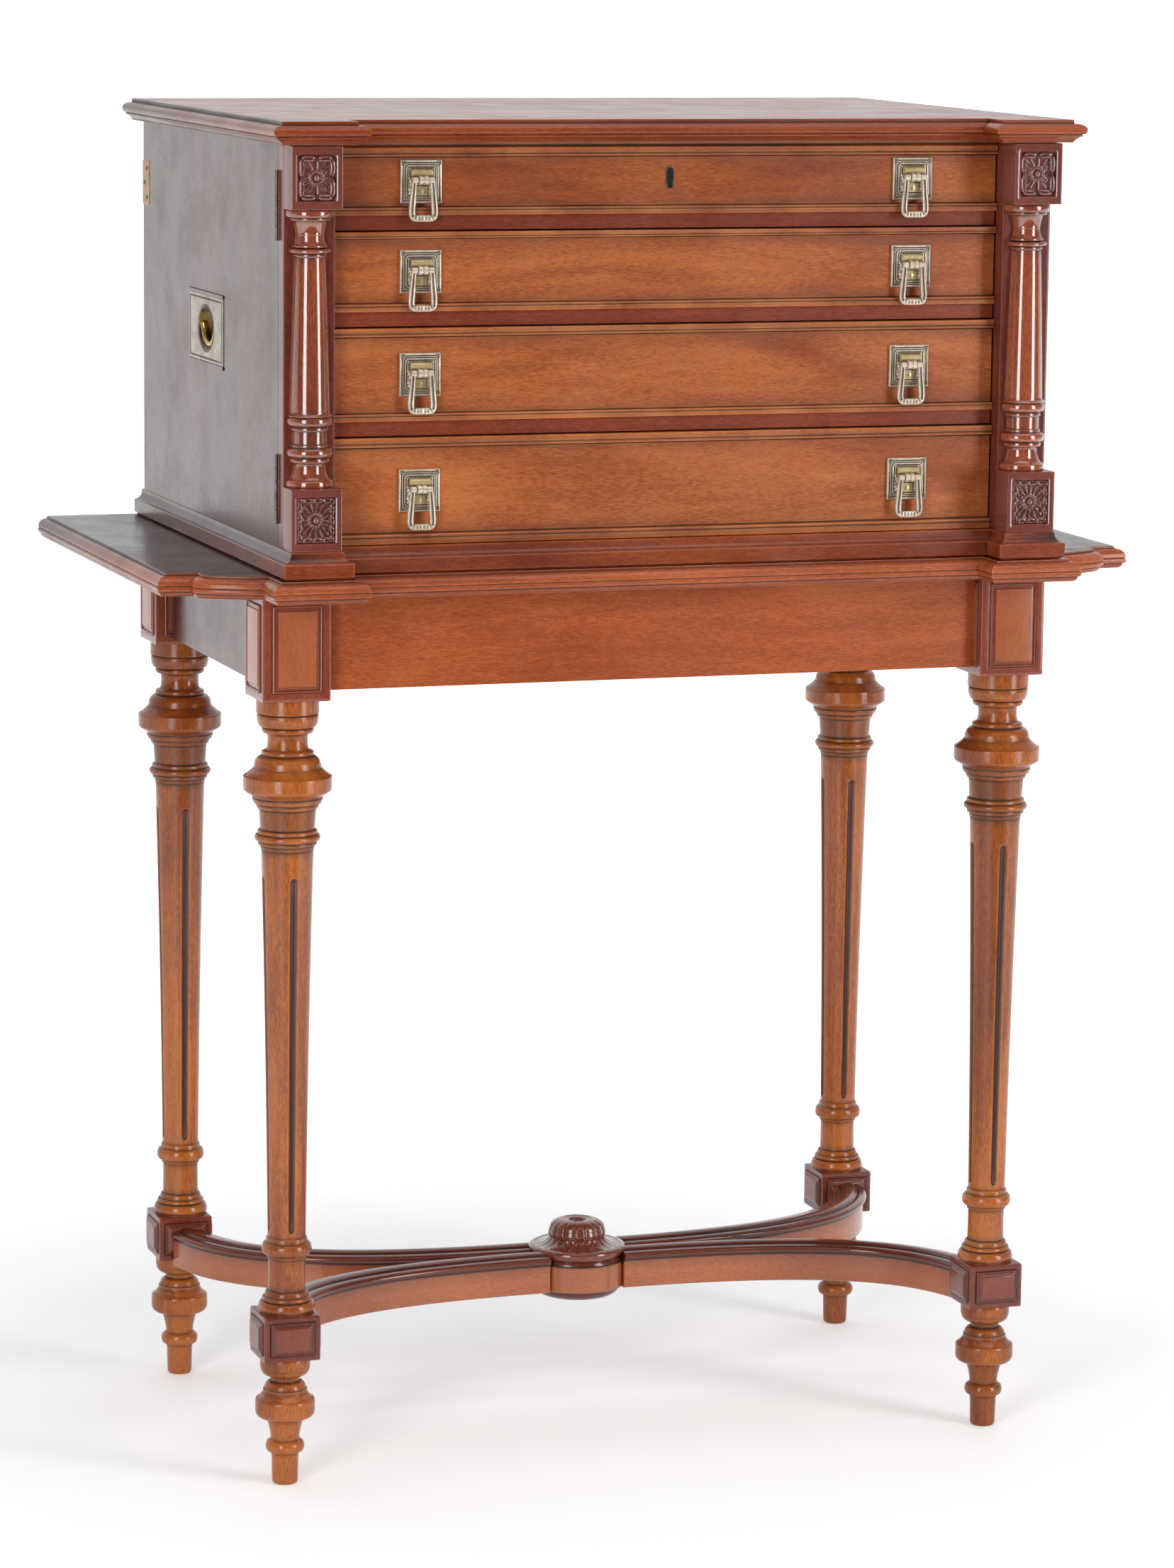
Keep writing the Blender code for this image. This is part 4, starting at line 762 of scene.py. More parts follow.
def leg_flutes(angle, height):
    """Four flutes of round section, each stopped by a rounded end: depth x sqrt(1 - u^2 - v^2)."""
    quarter = math.pi / 2
    turn = (angle + quarter / 2) % quarter - quarter / 2
    across = turn * SHAFT_RADIUS / FLUTE_HALF
    past = np.maximum(FLUTE_LOW + FLUTE_HALF - height, height - FLUTE_HIGH + FLUTE_HALF)
    beyond = np.maximum(past, 0) / FLUTE_HALF
    return FLUTE_DEPTH * np.sqrt(np.clip(1 - across ** 2 - beyond ** 2, 0, 1))


def make_legs():
    """Four legs of square blocks and turnings.

    The shaft's radius is 14.3 + 2.9 h + 2.4 h^2 in mm, with h from 0 at its foot to 1 at its head.
    """
    ends = np.linspace(0, 1, 12)
    rows = np.concatenate([np.array([484.9, 484.0, 480.0]) * MM, FLUTE_HIGH + (4 - 12 * ends) * MM,
                           np.linspace(450, 210, 12) * MM, FLUTE_LOW + (8 - 10 * ends) * MM,
                           [192.5 * MM]])
    rise = (rows - SHAFT_LOW) / SHAFT_TALL
    taper = (14.3 + 2.9 * rise + 2.4 * rise ** 2) * MM
    shaft = np.concatenate([CAP_SECTION, np.stack([taper, rows], axis=-1), ANKLE_SECTION])
    for hand, side in SIDES:
        for row, y in LEG_ROWS:
            node = f"leg_{row}_{hand}"
            panel = panelled_block(side * LEG_X, y, TOP_BLOCK_HALF, TOP_BLOCK_LOW, TOP_BLOCK_HIGH,
                                   TOP_BLOCK_MARGIN)
            block = panelled_block(side * LOW_BLOCK_X, y, LOW_BLOCK_HALF, LOW_BLOCK_LOW, LOW_BLOCK_HIGH,
                                   LOW_BLOCK_MARGIN, raised_section, LOW_BLOCK_SHRINK)
            turnings = [turned(side * LEG_X, y, shaft, 96, leg_flutes),
                        turned(side * LOW_BLOCK_X, y, FOOT_SECTION)]
            for end, surfaces, wood in (("turned", turnings, WOOD_TURNED), ("blocks", [block], WOOD_BLOCK),
                                        ("panelled", [panel], WOOD_PANEL)):
                piece(f"{node}_{end}", surfaces, wood, ROOT, (node,))


def arm_section():
    """The arm's section, (across, height), and how pale it is: plain sides, and six reeds over a flat arch.

    The arch is (13.6 cos a, 118.9 + 4.9 sin a) in mm, lifted by 1.9 |sin(3a)|^0.8.
    """
    half = [(10.8, 94.6), (11.7, 95.3), (11.9, 96.4), (11.9, 106), (11.9, 115.6), (11.9, 117.2),
            (12.6, 117.7), (13.5, 118.2)]
    turn = np.linspace(0, math.pi, 6 * 8 + 1)
    lift = 1.9 * np.abs(np.sin(3 * turn)) ** 0.8
    reeds = np.stack([(13.4 + lift) * np.cos(turn), 118.9 + (4.9 + lift) * np.sin(turn)], axis=-1)
    left = [(-a, b) for a, b in reversed(half)]
    section = np.concatenate([half, reeds[1:-1], left])
    return section * MM, np.where(section[:, 1] < 117.5, 1.0, 0.0)


def make_stretcher():
    """Four reeded arms on cubic Bezier curves, a moulded hub and a gadrooned dome."""
    t = np.linspace(0, 1, 40)[:, None]
    ends = np.array([(284, -139.5), (264.1, -41.6), (167.2, -15.5), (31, -15.5)], float)
    path = ((1 - t) ** 3 * ends[0] + 3 * t * (1 - t) ** 2 * ends[1]
            + 3 * t * t * (1 - t) * ends[2] + t ** 3 * ends[3])
    path = np.concatenate([path, np.zeros((len(path), 1))], axis=1) * MM
    section, pale = arm_section()
    for hand, side in SIDES:
        for row, back in (("front", 1), ("back", -1)):
            way = path * (side, back, 1) + (0, STAND_MIDDLE_Y, 0)
            arm = swept(way, section, (0, 0, 1)) + (np.tile(pale, len(way)),)
            piece(f"stretcher_{row}_{hand}_reeded", [arm], WOOD_ARM, ROOT,
                  (f"stretcher_arm_{row}_{hand}",))
    drum = traced((20, 86.4), ("fillet", 23.0, 86.5), ("ovolo", 34.4, 93.4), ("fillet", 35.2, 94.4),
                  ("fillet", 37.6, 94.7), ("fillet", 38.2, 95.4), ("fillet", 38.2, 115.4),
                  ("fillet", 37.4, 116.1), ("bead", 35.2, 120.2, 0.5), ("fillet", 34.6, 121.0))
    rounds = turned(0, STAND_MIDDLE_Y, drum, 96)
    height = rounds[0][:, 2]
    pale = np.where((height > 95.3 * MM) & (height < 115.8 * MM), 1.0, 0.0)
    piece("stretcher_hub_moulded", [rounds[:2] + (pale,)], WOOD_ARM, ROOT,
          ("stretcher_hub",))
    plate = traced((30, 119.4), ("fillet", 35.0, 119.6), ("bead", 36.4, 127.2, 2.9),
                   ("fillet", 35.0, 127.6), ("fillet", 34.2, 127.3), ("ovolo", 22.4, 133.4),
                   ("fillet", 16.0, 133.4))
    dome = traced((18.0, 132.4), ("fillet", 20.4, 132.8), ("ovolo", 22.8, 135.8),
                  ("bead", 22.0, 140.0, 0.3), ("cove", 11.6, 147.2), ("bead", 7.6, 146.4, 0.5),
                  ("ovolo", 5.2, 142.8), ("fillet", 4.2, 143.0), ("bead", 0.4, 144.8, 0.6), fine=9)

    def leaves(angle, height):
        """Small scallops round the plate's hollow."""
        inside = (height > 127.4 * MM) & (height < 132.2 * MM)
        return 0 * angle + 0.7 * MM * inside * np.abs(np.sin(angle * 11)) ** 3

    def lobes(angle, height):
        """Sixteen lobes parted by thin valleys, fading at the foot and in the middle."""
        foot = np.clip((height - 133.4 * MM) / (2.0 * MM), 0, 1)
        middle = np.clip((147.5 * MM - height) / (0.8 * MM), 0.6, 1)
        return 1.0 * MM * (1 - np.abs(np.sin(angle * 8))) ** 3.0 * foot * middle

    piece("stretcher_boss_gadrooned",
          [turned(0, STAND_MIDDLE_Y, plate, 198, leaves), turned(0, STAND_MIDDLE_Y, dome, 216, lobes)],
          WOOD_HUB, ROOT, ("stretcher_boss",), spread=0.5)


# Case

PLINTH_SECTION = traced(
    (-2.2, 694.3), ("fillet", -1.6, 695.2), ("fillet", -0.2, 695.8), ("fillet", 0, 705.6),
    ("fillet", -0.4, 706.1), ("ovolo", -6.2, 713.0), ("fillet", -6.4, 714.0), ("fillet", -8.0, 714.1),
    ("fillet", -11.0, 714.1))
LID_SECTION = traced(
    (-14, 1024), ("fillet", -5, 1024), ("fillet", -3.2, 1024), ("ovolo", -2.5, 1023.5),
    ("fillet", -2.4, 1021.4), ("fillet", -1.9, 1021.1), ("ovolo", 5.4, 1016.9), ("cove", 3.2, 1013.4),
    ("fillet", 2.3, 1013.2), ("fillet", 2.5, 1012.6), ("fillet", 2.5, 1011.6), ("fillet", 1.6, 1011.3),
    ("hollow", -2.4, 1007.6, 0.6), ("fillet", -2.8, 1007.0), ("fillet", -5.0, 1007.0),
    ("fillet", -14, 1007.0))


GUIDE_X = 238.5 * MM
GUIDE_HALF = 22.2 * MM
GUIDE_FRONT_Y, GUIDE_BACK_Y = -160 * MM, 205 * MM
GUIDE_LOW = 713.5 * MM


def case_moulding(section, front, recess, corner_in, half):
    """Carry a section round the plinth or lid: a recess between square corners, flush at the back."""
    right = [(0, recess), (corner_in, recess), (corner_in, front), (half, front)]
    outline = both_halves(np.array([*(np.array(right) * MM), (half * MM, BACK_Y)]))
    return sides_marked(mitred(outline, section, all_but_back(outline)), half * MM, front * MM, 2.0)


def make_plinth():
    """The plinth, and the guides of the low drawer on it."""
    plinth = case_moulding(PLINTH_SECTION, front=-223, recess=-196, corner_in=252.6, half=305.5)
    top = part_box("case_plinth")[1].z
    guides = [board((side * GUIDE_X - GUIDE_HALF, GUIDE_FRONT_Y, GUIDE_LOW),
                    (side * GUIDE_X + GUIDE_HALF, GUIDE_BACK_Y, top)) for _, side in SIDES]
    piece("case_plinth_moulded", [plinth] + guides, WOOD_PLINTH, ROOT, ("case_plinth",))


def make_lid():
    lid = case_moulding(LID_SECTION, front=-220.5, recess=-192.5, corner_in=247.2, half=309.2)
    piece("lid_moulded", [lid], WOOD_LID, "lid", ("lid",), spread=0.7)


CARCASE_Y = -180.8 * MM
BEAD_Y = -184.5 * MM
BEAD_DEPTH = 19.4 * MM
PANEL_SUNK = 4.0 * MM
BAND = 5.8 * MM


def make_front(name, node, body, low_band, high_band, lip=0.0):
    """A drawer front: a flat panel sunk between two long bands, each edged with a fillet and a groove.

    Distances are worked out for a band of the usual width and stretched to each band's own. A
    lip is the part of the front's top that steps back under the lid.
    """
    low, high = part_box(node)
    half = high.x
    middle = (low.z + high.z) / 2
    tall = (high.z - low.z) / 2
    near = np.array([0, 0.25, 0.6, 1.0, 3.2, 3.5, 3.7, 3.9, 4.2, 4.4, 4.7, 5.0, 5.2, 5.4, 5.55, 5.7,
                     5.9, 6.1, 6.5, 7.0, 7.8]) * MM
    bottom = near * low_band / BAND - tall
    top = tall - lip - near[::-1] * high_band / BAND
    ends = [tall - lip * 0.5, tall] if lip else []
    up = np.unique(np.concatenate([bottom, np.linspace(bottom[-1], top[0], 6), top, ends]))
    across = spaced(half, half - 0.2 * MM, half - 0.6 * MM, half - 1.2 * MM, half * 0.5)

    def height(u, v):
        edge = np.minimum((v + tall) * BAND / low_band, (tall - lip - v) * BAND / high_band)
        sunk = PANEL_SUNK * step_up(edge, 5.35 * MM, 0.5 * MM)
        groove = 0.55 * MM * np.exp(-((edge - 3.7 * MM) / (0.22 * MM)) ** 2)
        round_off = 0.25 * MM * step_up(edge, 4.9 * MM, 0.5 * MM)
        back = np.where(v > tall - lip + 0.1 * MM, 2.6 * MM, 0.0)
        quirk = 0.5 * MM * np.exp(-((edge - 6.1 * MM) / (0.2 * MM)) ** 2)
        edges = eased(np.maximum(edge, 0), 0.5 * MM) + eased(half - np.abs(u), 0.5 * MM)
        return -sunk - groove - round_off - back - quirk - edges

    slab = relief(across, up, height, BEAD_DEPTH, to_front(0, BEAD_Y, middle))
    piece(name, [slab], WOOD_FRONT, body, (node,), crease=26)


STILE_Y = -195.0 * MM
BLOCK_Y = -216.3 * MM
BLOCK_DEPTH = 35.3 * MM
BLOCK_HALF = 19.1
FOOT_BLOCK_LOW, FOOT_BLOCK_HIGH = 714.3 * MM, 759.7 * MM
HEAD_BLOCK_LOW = 960.8 * MM
FIELD_HALF_WIDTH = 14.4
FIELD_HALF_HEIGHT = 16.7
FIELD_SUNK = 3.0


def boss(radius, turn):
    """A ringed button in the middle of a carved field, the ring cut into beads."""
    ring = (1.1 + 0.35 * np.cos(12 * turn)) * np.exp(-((radius - 4.3) / 0.8) ** 2)
    button = 2.4 * np.sqrt(np.clip(1 - (radius / 2.7) ** 2, 0, 1))
    return ring + button


def side_places(u, v):
    """A point's distance to the field's nearest side, and its place along that side from the middle."""
    edge = edge_distance(u, v, FIELD_HALF_WIDTH, FIELD_HALF_HEIGHT)
    upright = FIELD_HALF_WIDTH - np.abs(u) < FIELD_HALF_HEIGHT - np.abs(v)
    return edge, np.where(upright, v, u), np.where(upright, FIELD_HALF_HEIGHT, FIELD_HALF_WIDTH)


def upper_carving(u, v):
    """Eight oval lobes with a rolled inner edge, a pair along each side, and rays to the corners, in mm."""
    radius = np.hypot(u, v)
    turn = np.arctan2(v, u)
    edge, along, half = side_places(u, v)
    length = (np.abs(along) - 0.44 * half) / (0.40 * half)
    width = (edge - 2.8) / 2.7
    lobe = np.sqrt(np.clip(1 - length ** 4 - width ** 2, 0, 1))
    fold = 1.1 * np.exp(-((width - 0.1 - 0.3 * length ** 2) / 0.17) ** 2) * (lobe > 0)
    petals = 3.2 * lobe ** 0.8 - fold
    diagonal = (turn % (math.pi / 2)) - math.pi / 4
    rays = sum(np.exp(-((diagonal - bend) * radius / 0.5) ** 2) for bend in (-0.24, 0.0, 0.24))
    rays = 1.3 * rays * step_up(radius, 6.0, 0.8) * (1 - step_up(radius, 17.5, 1.5))
    dart = 1.6 * np.exp(-(along / 0.5) ** 2) * step_up(radius, 6.0, 0.8) * (edge > 1.0)
    return np.maximum(np.maximum(petals, rays), dart) * (edge > 0.3) + boss(radius, turn)


def lower_carving(u, v):
    """A sunburst of sixteen strokes round a ringed button, inside a border of curled leaves, in mm."""
    radius = np.hypot(u, v)
    turn = np.arctan2(v, u)
    strokes = 1.9 * np.clip(np.cos(16 * turn + 0.6), 0, 1) ** 0.9
    strokes = strokes * step_up(radius, 6.0, 0.9)
    edge, along, _ = side_places(u, v)
    curl = 0.5 + 0.5 * np.cos(along * math.tau / 7.4 + edge * 1.2)
    leaves = (0.9 + 1.3 * curl) * step_up(edge, 0.2, 0.5) * (1 - step_up(edge, 3.2 + 1.3 * curl, 0.7))
    leaves = leaves * (1 - 0.6 * np.exp(-((edge - 2.1) / 0.4) ** 2))
    strokes = strokes * step_up(edge, 4.2, 0.8)
    return np.maximum(strokes, leaves) + boss(radius, turn)


def carved_block(x, low, high, carving):
    """A square block whose face is a frame round a sunk field, with the carving rising from it."""
    middle = (low + high) / 2
    tall = (high - low) / MM / 2
    field = np.linspace(-FIELD_HALF_WIDTH, FIELD_HALF_WIDTH, 75)
    field_up = np.linspace(-FIELD_HALF_HEIGHT, FIELD_HALF_HEIGHT, 85)
    rim = np.array([0, 0.15, 0.4, 0.8, 1.8, 3.4, 3.8])
    across = np.concatenate([rim - BLOCK_HALF, field, BLOCK_HALF - rim[::-1]]) * MM
    up = np.concatenate([rim - tall, field_up, tall - rim[::-1]]) * MM

    def height(u, v):
        a, b = u / MM, v / MM
        inside = edge_distance(a, b, FIELD_HALF_WIDTH, FIELD_HALF_HEIGHT)
        sunk = FIELD_SUNK * step_up(inside, 0.0, 0.45)
        line = 0.35 * np.exp(-((inside + 0.75) / 0.2) ** 2)
        raised = np.where(inside > 0, carving(a, b), 0.0)
        outer = eased(edge_distance(a, b, BLOCK_HALF, tall), 0.6)
        return (np.minimum(raised, FIELD_SUNK + 0.1) - sunk - line - outer) * MM

    points, faces = relief(across, up, height, BLOCK_DEPTH, to_front(x, BLOCK_Y, middle))
    a, b = (points[:, 0] - x) / MM, (points[:, 2] - middle) / MM
    frame = np.where(edge_distance(a, b, FIELD_HALF_WIDTH, FIELD_HALF_HEIGHT) < -0.2, 1.0, 0.0)
    return points, faces, frame


COLUMN_SECTION = traced(
    (14.0, 961.2), ("fillet", 16.6, 960.4), ("bead", 16.6, 954.6, 1.4), ("fillet", 15.2, 954.2),
    ("bead", 14.8, 952.4, 0.5), ("fillet", 13.0, 951.8), ("hollow", 10.9, 942.4, 0.5),
    ("hollow", 12.4, 935.2, 0.7), ("fillet", 12.9, 934.6), ("bead", 12.7, 933.0, 0.3),
    ("fillet", 11.8, 932.6), ("fillet", 14.2, 932.2), ("bead", 14.2, 929.0, 1.5), ("fillet", 12.0, 928.6),
    ("bead", 12.0, 926.2, 0.6), ("fillet", 11.6, 925.8), ("hollow", 15.0, 814.4, -0.3),
    ("fillet", 15.4, 813.2), ("fillet", 17.4, 811.8), ("fillet", 17.0, 811.2), ("fillet", 15.2, 810.8),
    ("bead", 15.2, 804.4, 1.7), ("fillet", 13.4, 804.0), ("fillet", 13.8, 803.2),
    ("bead", 13.8, 800.8, 0.4), ("fillet", 13.1, 800.4), ("fillet", 13.1, 791.4), ("fillet", 13.9, 790.8),
    ("bead", 13.9, 788.8, 0.3), ("fillet", 14.6, 788.4), ("bead", 15.0, 781.6, 2.3),
    ("fillet", 14.0, 781.2), ("bead", 14.2, 777.9, 0.7), ("fillet", 12.9, 777.4),
    ("hollow", 16.1, 765.2, 2.0), ("fillet", 16.5, 764.8),
    ("bead", 16.6, 759.8, 0.9), ("fillet", 15.0, 759.2))


def half_column(x):
    """Half a turning, its round side to the front and its flat side on the stile."""
    turn = math.pi + np.linspace(0, math.pi, 49)[None]
    radius, height = COLUMN_SECTION[:, :1], COLUMN_SECTION[:, 1:]
    y = STILE_Y + radius * np.sin(turn) + 0.4 * MM
    return skinned(np.stack([x + radius * np.cos(turn), y, height + 0 * turn], axis=-1))


def make_stiles():
    for hand, _ in SIDES:
        stile = "stile_" + hand
        low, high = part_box(stile)
        middle = (low.x + high.x) / 2
        flat = board((low.x, STILE_Y, low.z + 0.2 * MM), (high.x, CARCASE_Y, high.z - 0.1 * MM), 0.5 * MM)
        blocks = [carved_block(middle, FOOT_BLOCK_LOW, FOOT_BLOCK_HIGH, lower_carving),
                  carved_block(middle, HEAD_BLOCK_LOW, high.z, upper_carving)]
        piece("stile_flat_" + hand, [flat], WOOD_UPRIGHT, stile, (stile,))
        piece("stile_carved_" + hand, blocks, WOOD_CARVED, stile, (stile,), spread=0.35)
        piece("column_turned_" + hand, [half_column(middle)], WOOD_COLUMN, stile,
              ("column_" + hand,))


# Brass

def screw(a, b, radius, turn):
    """Height of a countersunk screw head at (a, b): a low dome in a fine groove, with a slot across it."""
    def height(u, v):
        near = np.hypot(u - a, v - b)
        dome = 0.35 * np.sqrt(np.clip(1 - (near / radius) ** 2, 0, 1))
        groove = 0.3 * np.exp(-((near - radius * 1.1) / 0.18) ** 2)
        across = np.abs((u - a) * math.sin(turn) - (v - b) * math.cos(turn))
        slot = 0.4 * np.exp(-(across / 0.22) ** 2) * (near < radius * 0.92)
        return dome - groove - slot
    return height


PLATE_HALF = 15.75
PLATE_Y = CARCASE_Y - 1.4 * MM
PLATE_DEPTH = 1.35 * MM
PIN_Y = -187.45 * MM
PIN_UP = 1.2 * MM
SCREWS = [screw(a, b, 1.25, 0.6 + a * b) for a in (-13.2, 13.2) for b in (-13.2, 13.2)]


def plate_height(u, v):
    """The drawer plate: an edge bead, screws, a cut-cornered raised field, a hood and chased work."""
    u, v = u / MM, v / MM
    edge = edge_distance(u, v, PLATE_HALF, PLATE_HALF)
    eight = np.minimum(edge - 3.4, (22.6 - np.abs(u) - np.abs(v)) / math.sqrt(2))
    rim = (0.3 * np.exp(-((edge - 0.7) / 0.45) ** 2) - eased(edge, 0.5)
           - 0.6 * np.exp(-((edge - 2.1) / 0.3) ** 2))
    field = 0.85 * step_up(eight, 0, 0.7) - 0.8 * np.exp(-((eight + 0.3) / 0.3) ** 2)
    inner = -0.8 * np.exp(-((eight - 1.9) / 0.3) ** 2)
    hood_up = (v - 6.4) / 2.9
    hood = 3.6 * np.sqrt(np.clip(1 - hood_up ** 2, 0, 1)) * (1 - step_up(np.abs(u), 7.6, 1.2))
    scroll = 0.45 * np.sin(np.abs(u) * 1.7 + v * 0.7) * np.sin(v * 1.5 - np.abs(u) * 0.6)
    chased = scroll * step_up(eight, 2.2, 0.5) * (v < 3.2) * step_up(np.abs(u), 5.2, 0.6)
    diamond = 0.5 - 0.9 * (np.abs(u) + np.abs(v + 7.2)) / 4.6
    pad = (0.5 + np.clip(diamond, 0, 0.4)) * (1 - step_up(np.abs(u), 4.4, 0.4)) * (np.abs(v + 7.4) < 4.4)
    heads = sum(head(u, v) for head in SCREWS)
    return (rim + np.maximum(field + inner + chased, 0) + hood + pad * 0.8 + heads) * MM


def pin(along, low, high, centre, radius, sides=24, ease=0.25 * MM, nose=0.08 * MM, share=0.5):
    """A round pin or knuckle whose axis lies along x (0) or z (2), with rounded ends."""
    place = np.array([low, low + nose, low + ease, high - ease, high - nose, high])
    r = radius - np.array([ease, share * ease, 0, 0, share * ease, ease])
    turn = np.arange(sides) * math.tau / sides
    others = [axis for axis in range(3) if axis != along]
    rings = np.zeros((len(place), sides, 3))
    rings[..., along] = place[:, None]
    rings[..., others[0]] = centre[0] + r[:, None] * np.cos(turn)
    rings[..., others[1]] = centre[1] + r[:, None] * np.sin(turn)
    return skinned(rings)


def bail_pin(x_low, x_high, centre, radius):
    """A pin of a drop handle, across the front."""
    return pin(0, x_low, x_high, centre, radius, 28, 0.35 * MM, 0.1 * MM, 0.6)


def smooth_path(points, count):
    """A Catmull-Rom curve through the points, sampled evenly along its chords."""
    points = np.array(points, float)
    full = np.concatenate([[2 * points[0] - points[1]], points, [2 * points[-1] - points[-2]]])
    share = np.linspace(0, len(points) - 1, count)
    first = np.minimum(share.astype(int), len(points) - 2)
    t = (share - first)[:, None]
    a, b, c, d = (full[first + k] for k in range(4))
    return 0.5 * (2 * b + (c - a) * t + (2 * a - 5 * b + 4 * c - d) * t ** 2
                  + (3 * b - a - 3 * c + d) * t ** 3)


def bail_shape(x, y, z):
    """The drop handle: a flat strap with a grooved face, from eye to eye down round a chased foot."""
    half = [(6.9, 0.6), (7.0, -1.5), (7.5, -8), (8.1, -15), (8.6, -21), (8.5, -25.0), (7.2, -27.2),
            (4.4, -27.7), (0, -27.7)]
    loop = half + [(-a, b) for a, b in reversed(half[:-1])]
    flat = smooth_path(loop, 97)
    path = np.stack([x + flat[:, 0] * MM, np.full(len(flat), y), z + flat[:, 1] * MM], axis=-1)
    turn = np.arange(24) * math.tau / 24
    wide = np.abs(np.cos(turn)) ** 0.7 * np.sign(np.cos(turn))
    thick = np.abs(np.sin(turn)) ** 0.7 * np.sign(np.sin(turn))
    strap = 2.0 + 0.45 * step_up(-flat[:, 1], 4.0, 14.0)
    foot = step_up(-flat[:, 1], 25.6, 1.2)
    chase = 0.22 * foot * np.cos(flat[:, 0] * math.tau / 2.6)
    across = strap[:, None] * wide[None]
    out = 1.75 * thick[None] * (1 - 0.32 * np.exp(-(across / 0.6) ** 2) * (1 - foot[:, None]))
    out = out + chase[:, None] * thick[None]
    return swept(path, np.stack([across, out], axis=-1) * MM, (0, 1, 0))


def make_handles():
    """Each drop handle: its plate with the lugs that hold the pin, and the bail that swings on it."""
    lines = np.linspace(-PLATE_HALF, PLATE_HALF, 127) * MM
    for row in ("top", "drawer_high", "drawer_middle", "drawer_low"):
        carrier = ROOT if row == "top" else row
        for hand, _ in SIDES:
            name = f"{row}_{hand}"
            low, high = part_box(name + "_plate")
            x, z = (low.x + high.x) / 2, (low.z + high.z) / 2
            pin_z = z + PIN_UP
            pivot = (PIN_Y, pin_z)
            plate = relief(lines, lines, plate_height, PLATE_DEPTH, to_front(x, PLATE_Y, z))
            across, up = np.abs(plate[0][:, 0] - x) / MM, (plate[0][:, 2] - z) / MM
            golden = (across < 8.8) & (np.abs(up - 6.4) < 3.2) | (across < 4.8) & (np.abs(up + 7.4) < 4.8)
            plate += (golden.astype(float),)
            parts = [plate,
                     bail_pin(x - 3.6 * MM, x - 0.5 * MM, pivot, 3.3 * MM),
                     bail_pin(x + 0.5 * MM, x + 3.6 * MM, pivot, 3.3 * MM),
                     bail_pin(x - 0.8 * MM, x + 0.8 * MM, pivot, 2.6 * MM),
                     board((x - 3.4 * MM, PIN_Y, pin_z - 2.0 * MM),
                           (x + 3.4 * MM, PLATE_Y, pin_z + 2.4 * MM), 0.3 * MM)]
            piece(f"{name}_plate_cast", parts, BRASS, carrier, (name + "_plate",), spread=0.3)
            eyes = [bail_pin(x + eye - 2.2 * MM, x + eye + 2.2 * MM, pivot, 2.35 * MM)
                    for eye in (-6.3 * MM, 6.3 * MM)]
            piece(f"{name}_bail_cast", [bail_shape(x, PIN_Y, pin_z)] + eyes, BRASS, name + "_bail",
                  (name + "_bail",), spread=0.6)


FLUSH_HALF = (50.8, 25.5)
FLUSH_X = 299.8 * MM
BOWL = (22.0, 16.4)
BOWL_DEPTH = 9.8
BOWL_RIM = 1.08
PLATE_THICK = 1.4
RING_X = 296.5
RING_UP = 2.0
RING_HALF = 18.0
RING_DROP = 14.0
RING_RADIUS = 2.2 * MM
FILLET_IN, FILLET_OUT = 297.8 * MM, 299.97 * MM
FILLET_HALF = 50.75 * MM
FILLET_LOW, FILLET_HIGH = 25.55 * MM, 27.95 * MM


def flush_plate(side, y, z):
    """A bevelled plate with an oval bowl, of rings from the bowl's middle to the plate's edge and back.

    The bowl sinks by depth x (1 - rho^3); beyond its rim each ring is a mix of the ellipse and
    the rectangle along the same ray.
    """
    inset = np.array([3.6, 3.2, 2.9, 2.6, 2.3, 1.6, 1.2, 0.8, 0.4, 0.1, 0.0])
    corners = [math.atan2(b * (FLUSH_HALF[1] - edge), a * (FLUSH_HALF[0] - edge)) % math.tau
               for edge in inset for a in (-1, 1) for b in (-1, 1)]
    turn = np.unique(np.concatenate([np.linspace(0, math.tau, 120, endpoint=False), corners]))
    c, s = np.cos(turn), np.sin(turn)
    oval = 1 / np.sqrt((c / BOWL[0]) ** 2 + (s / BOWL[1]) ** 2)
    box = np.minimum((FLUSH_HALF[0] - inset[:, None]) / np.maximum(np.abs(c), 1e-6),
                     (FLUSH_HALF[1] - inset[:, None]) / np.maximum(np.abs(s), 1e-6))
    bowl = np.array([0.02, 0.2, 0.4, 0.55, 0.68, 0.78, 0.86, 0.92, 0.96, 0.985, 1.0])
    rim = np.array([1.02, 1.035, 1.06, 1.08])
    mix = np.array([0.1, 0.25, 0.45, 0.65, 0.8, 0.9])
    bowl, rim, mix = bowl[:, None], rim[:, None], mix[:, None]
    reach = np.concatenate([oval * bowl, oval * rim, oval * BOWL_RIM * (1 - mix) + box[0] * mix, box])
    rim_line = 0.35 * np.exp(-((rim - 1.06) / 0.014) ** 2)
    edge = inset[:, None]
    edge_line = 0.5 * np.exp(-((edge - 2.9) / 0.3) ** 2) + 0.4 * np.clip(1 - edge / 0.9, 0, 1) ** 1.5
    out = -0.05 - np.concatenate([BOWL_DEPTH * (1 - bowl ** 3) + 0.1, rim_line, 0 * mix, edge_line])
    under = len(out) - len(inset)
    reach = np.concatenate([reach, box[-1:], reach[:under][::-1]])
    out = np.concatenate([out, [[-1 - PLATE_THICK]],
                          np.minimum(out[:under][::-1] - PLATE_THICK, -PLATE_THICK - 0.05)])
    u, v = reach * c, reach * s
    points = to_side(side, side * FLUSH_X, y, z)(u * MM, v * MM, (out + 0 * u) * MM)
    # The bowl is marked for a darker brass colour: painted shade inside the bowl.
    bowl_shade = np.where(np.arange(len(out)) < len(bowl), 1.0, 0.0)
    return skinned(np.stack(points, axis=-1)) + (np.repeat(bowl_shade, len(turn)),)


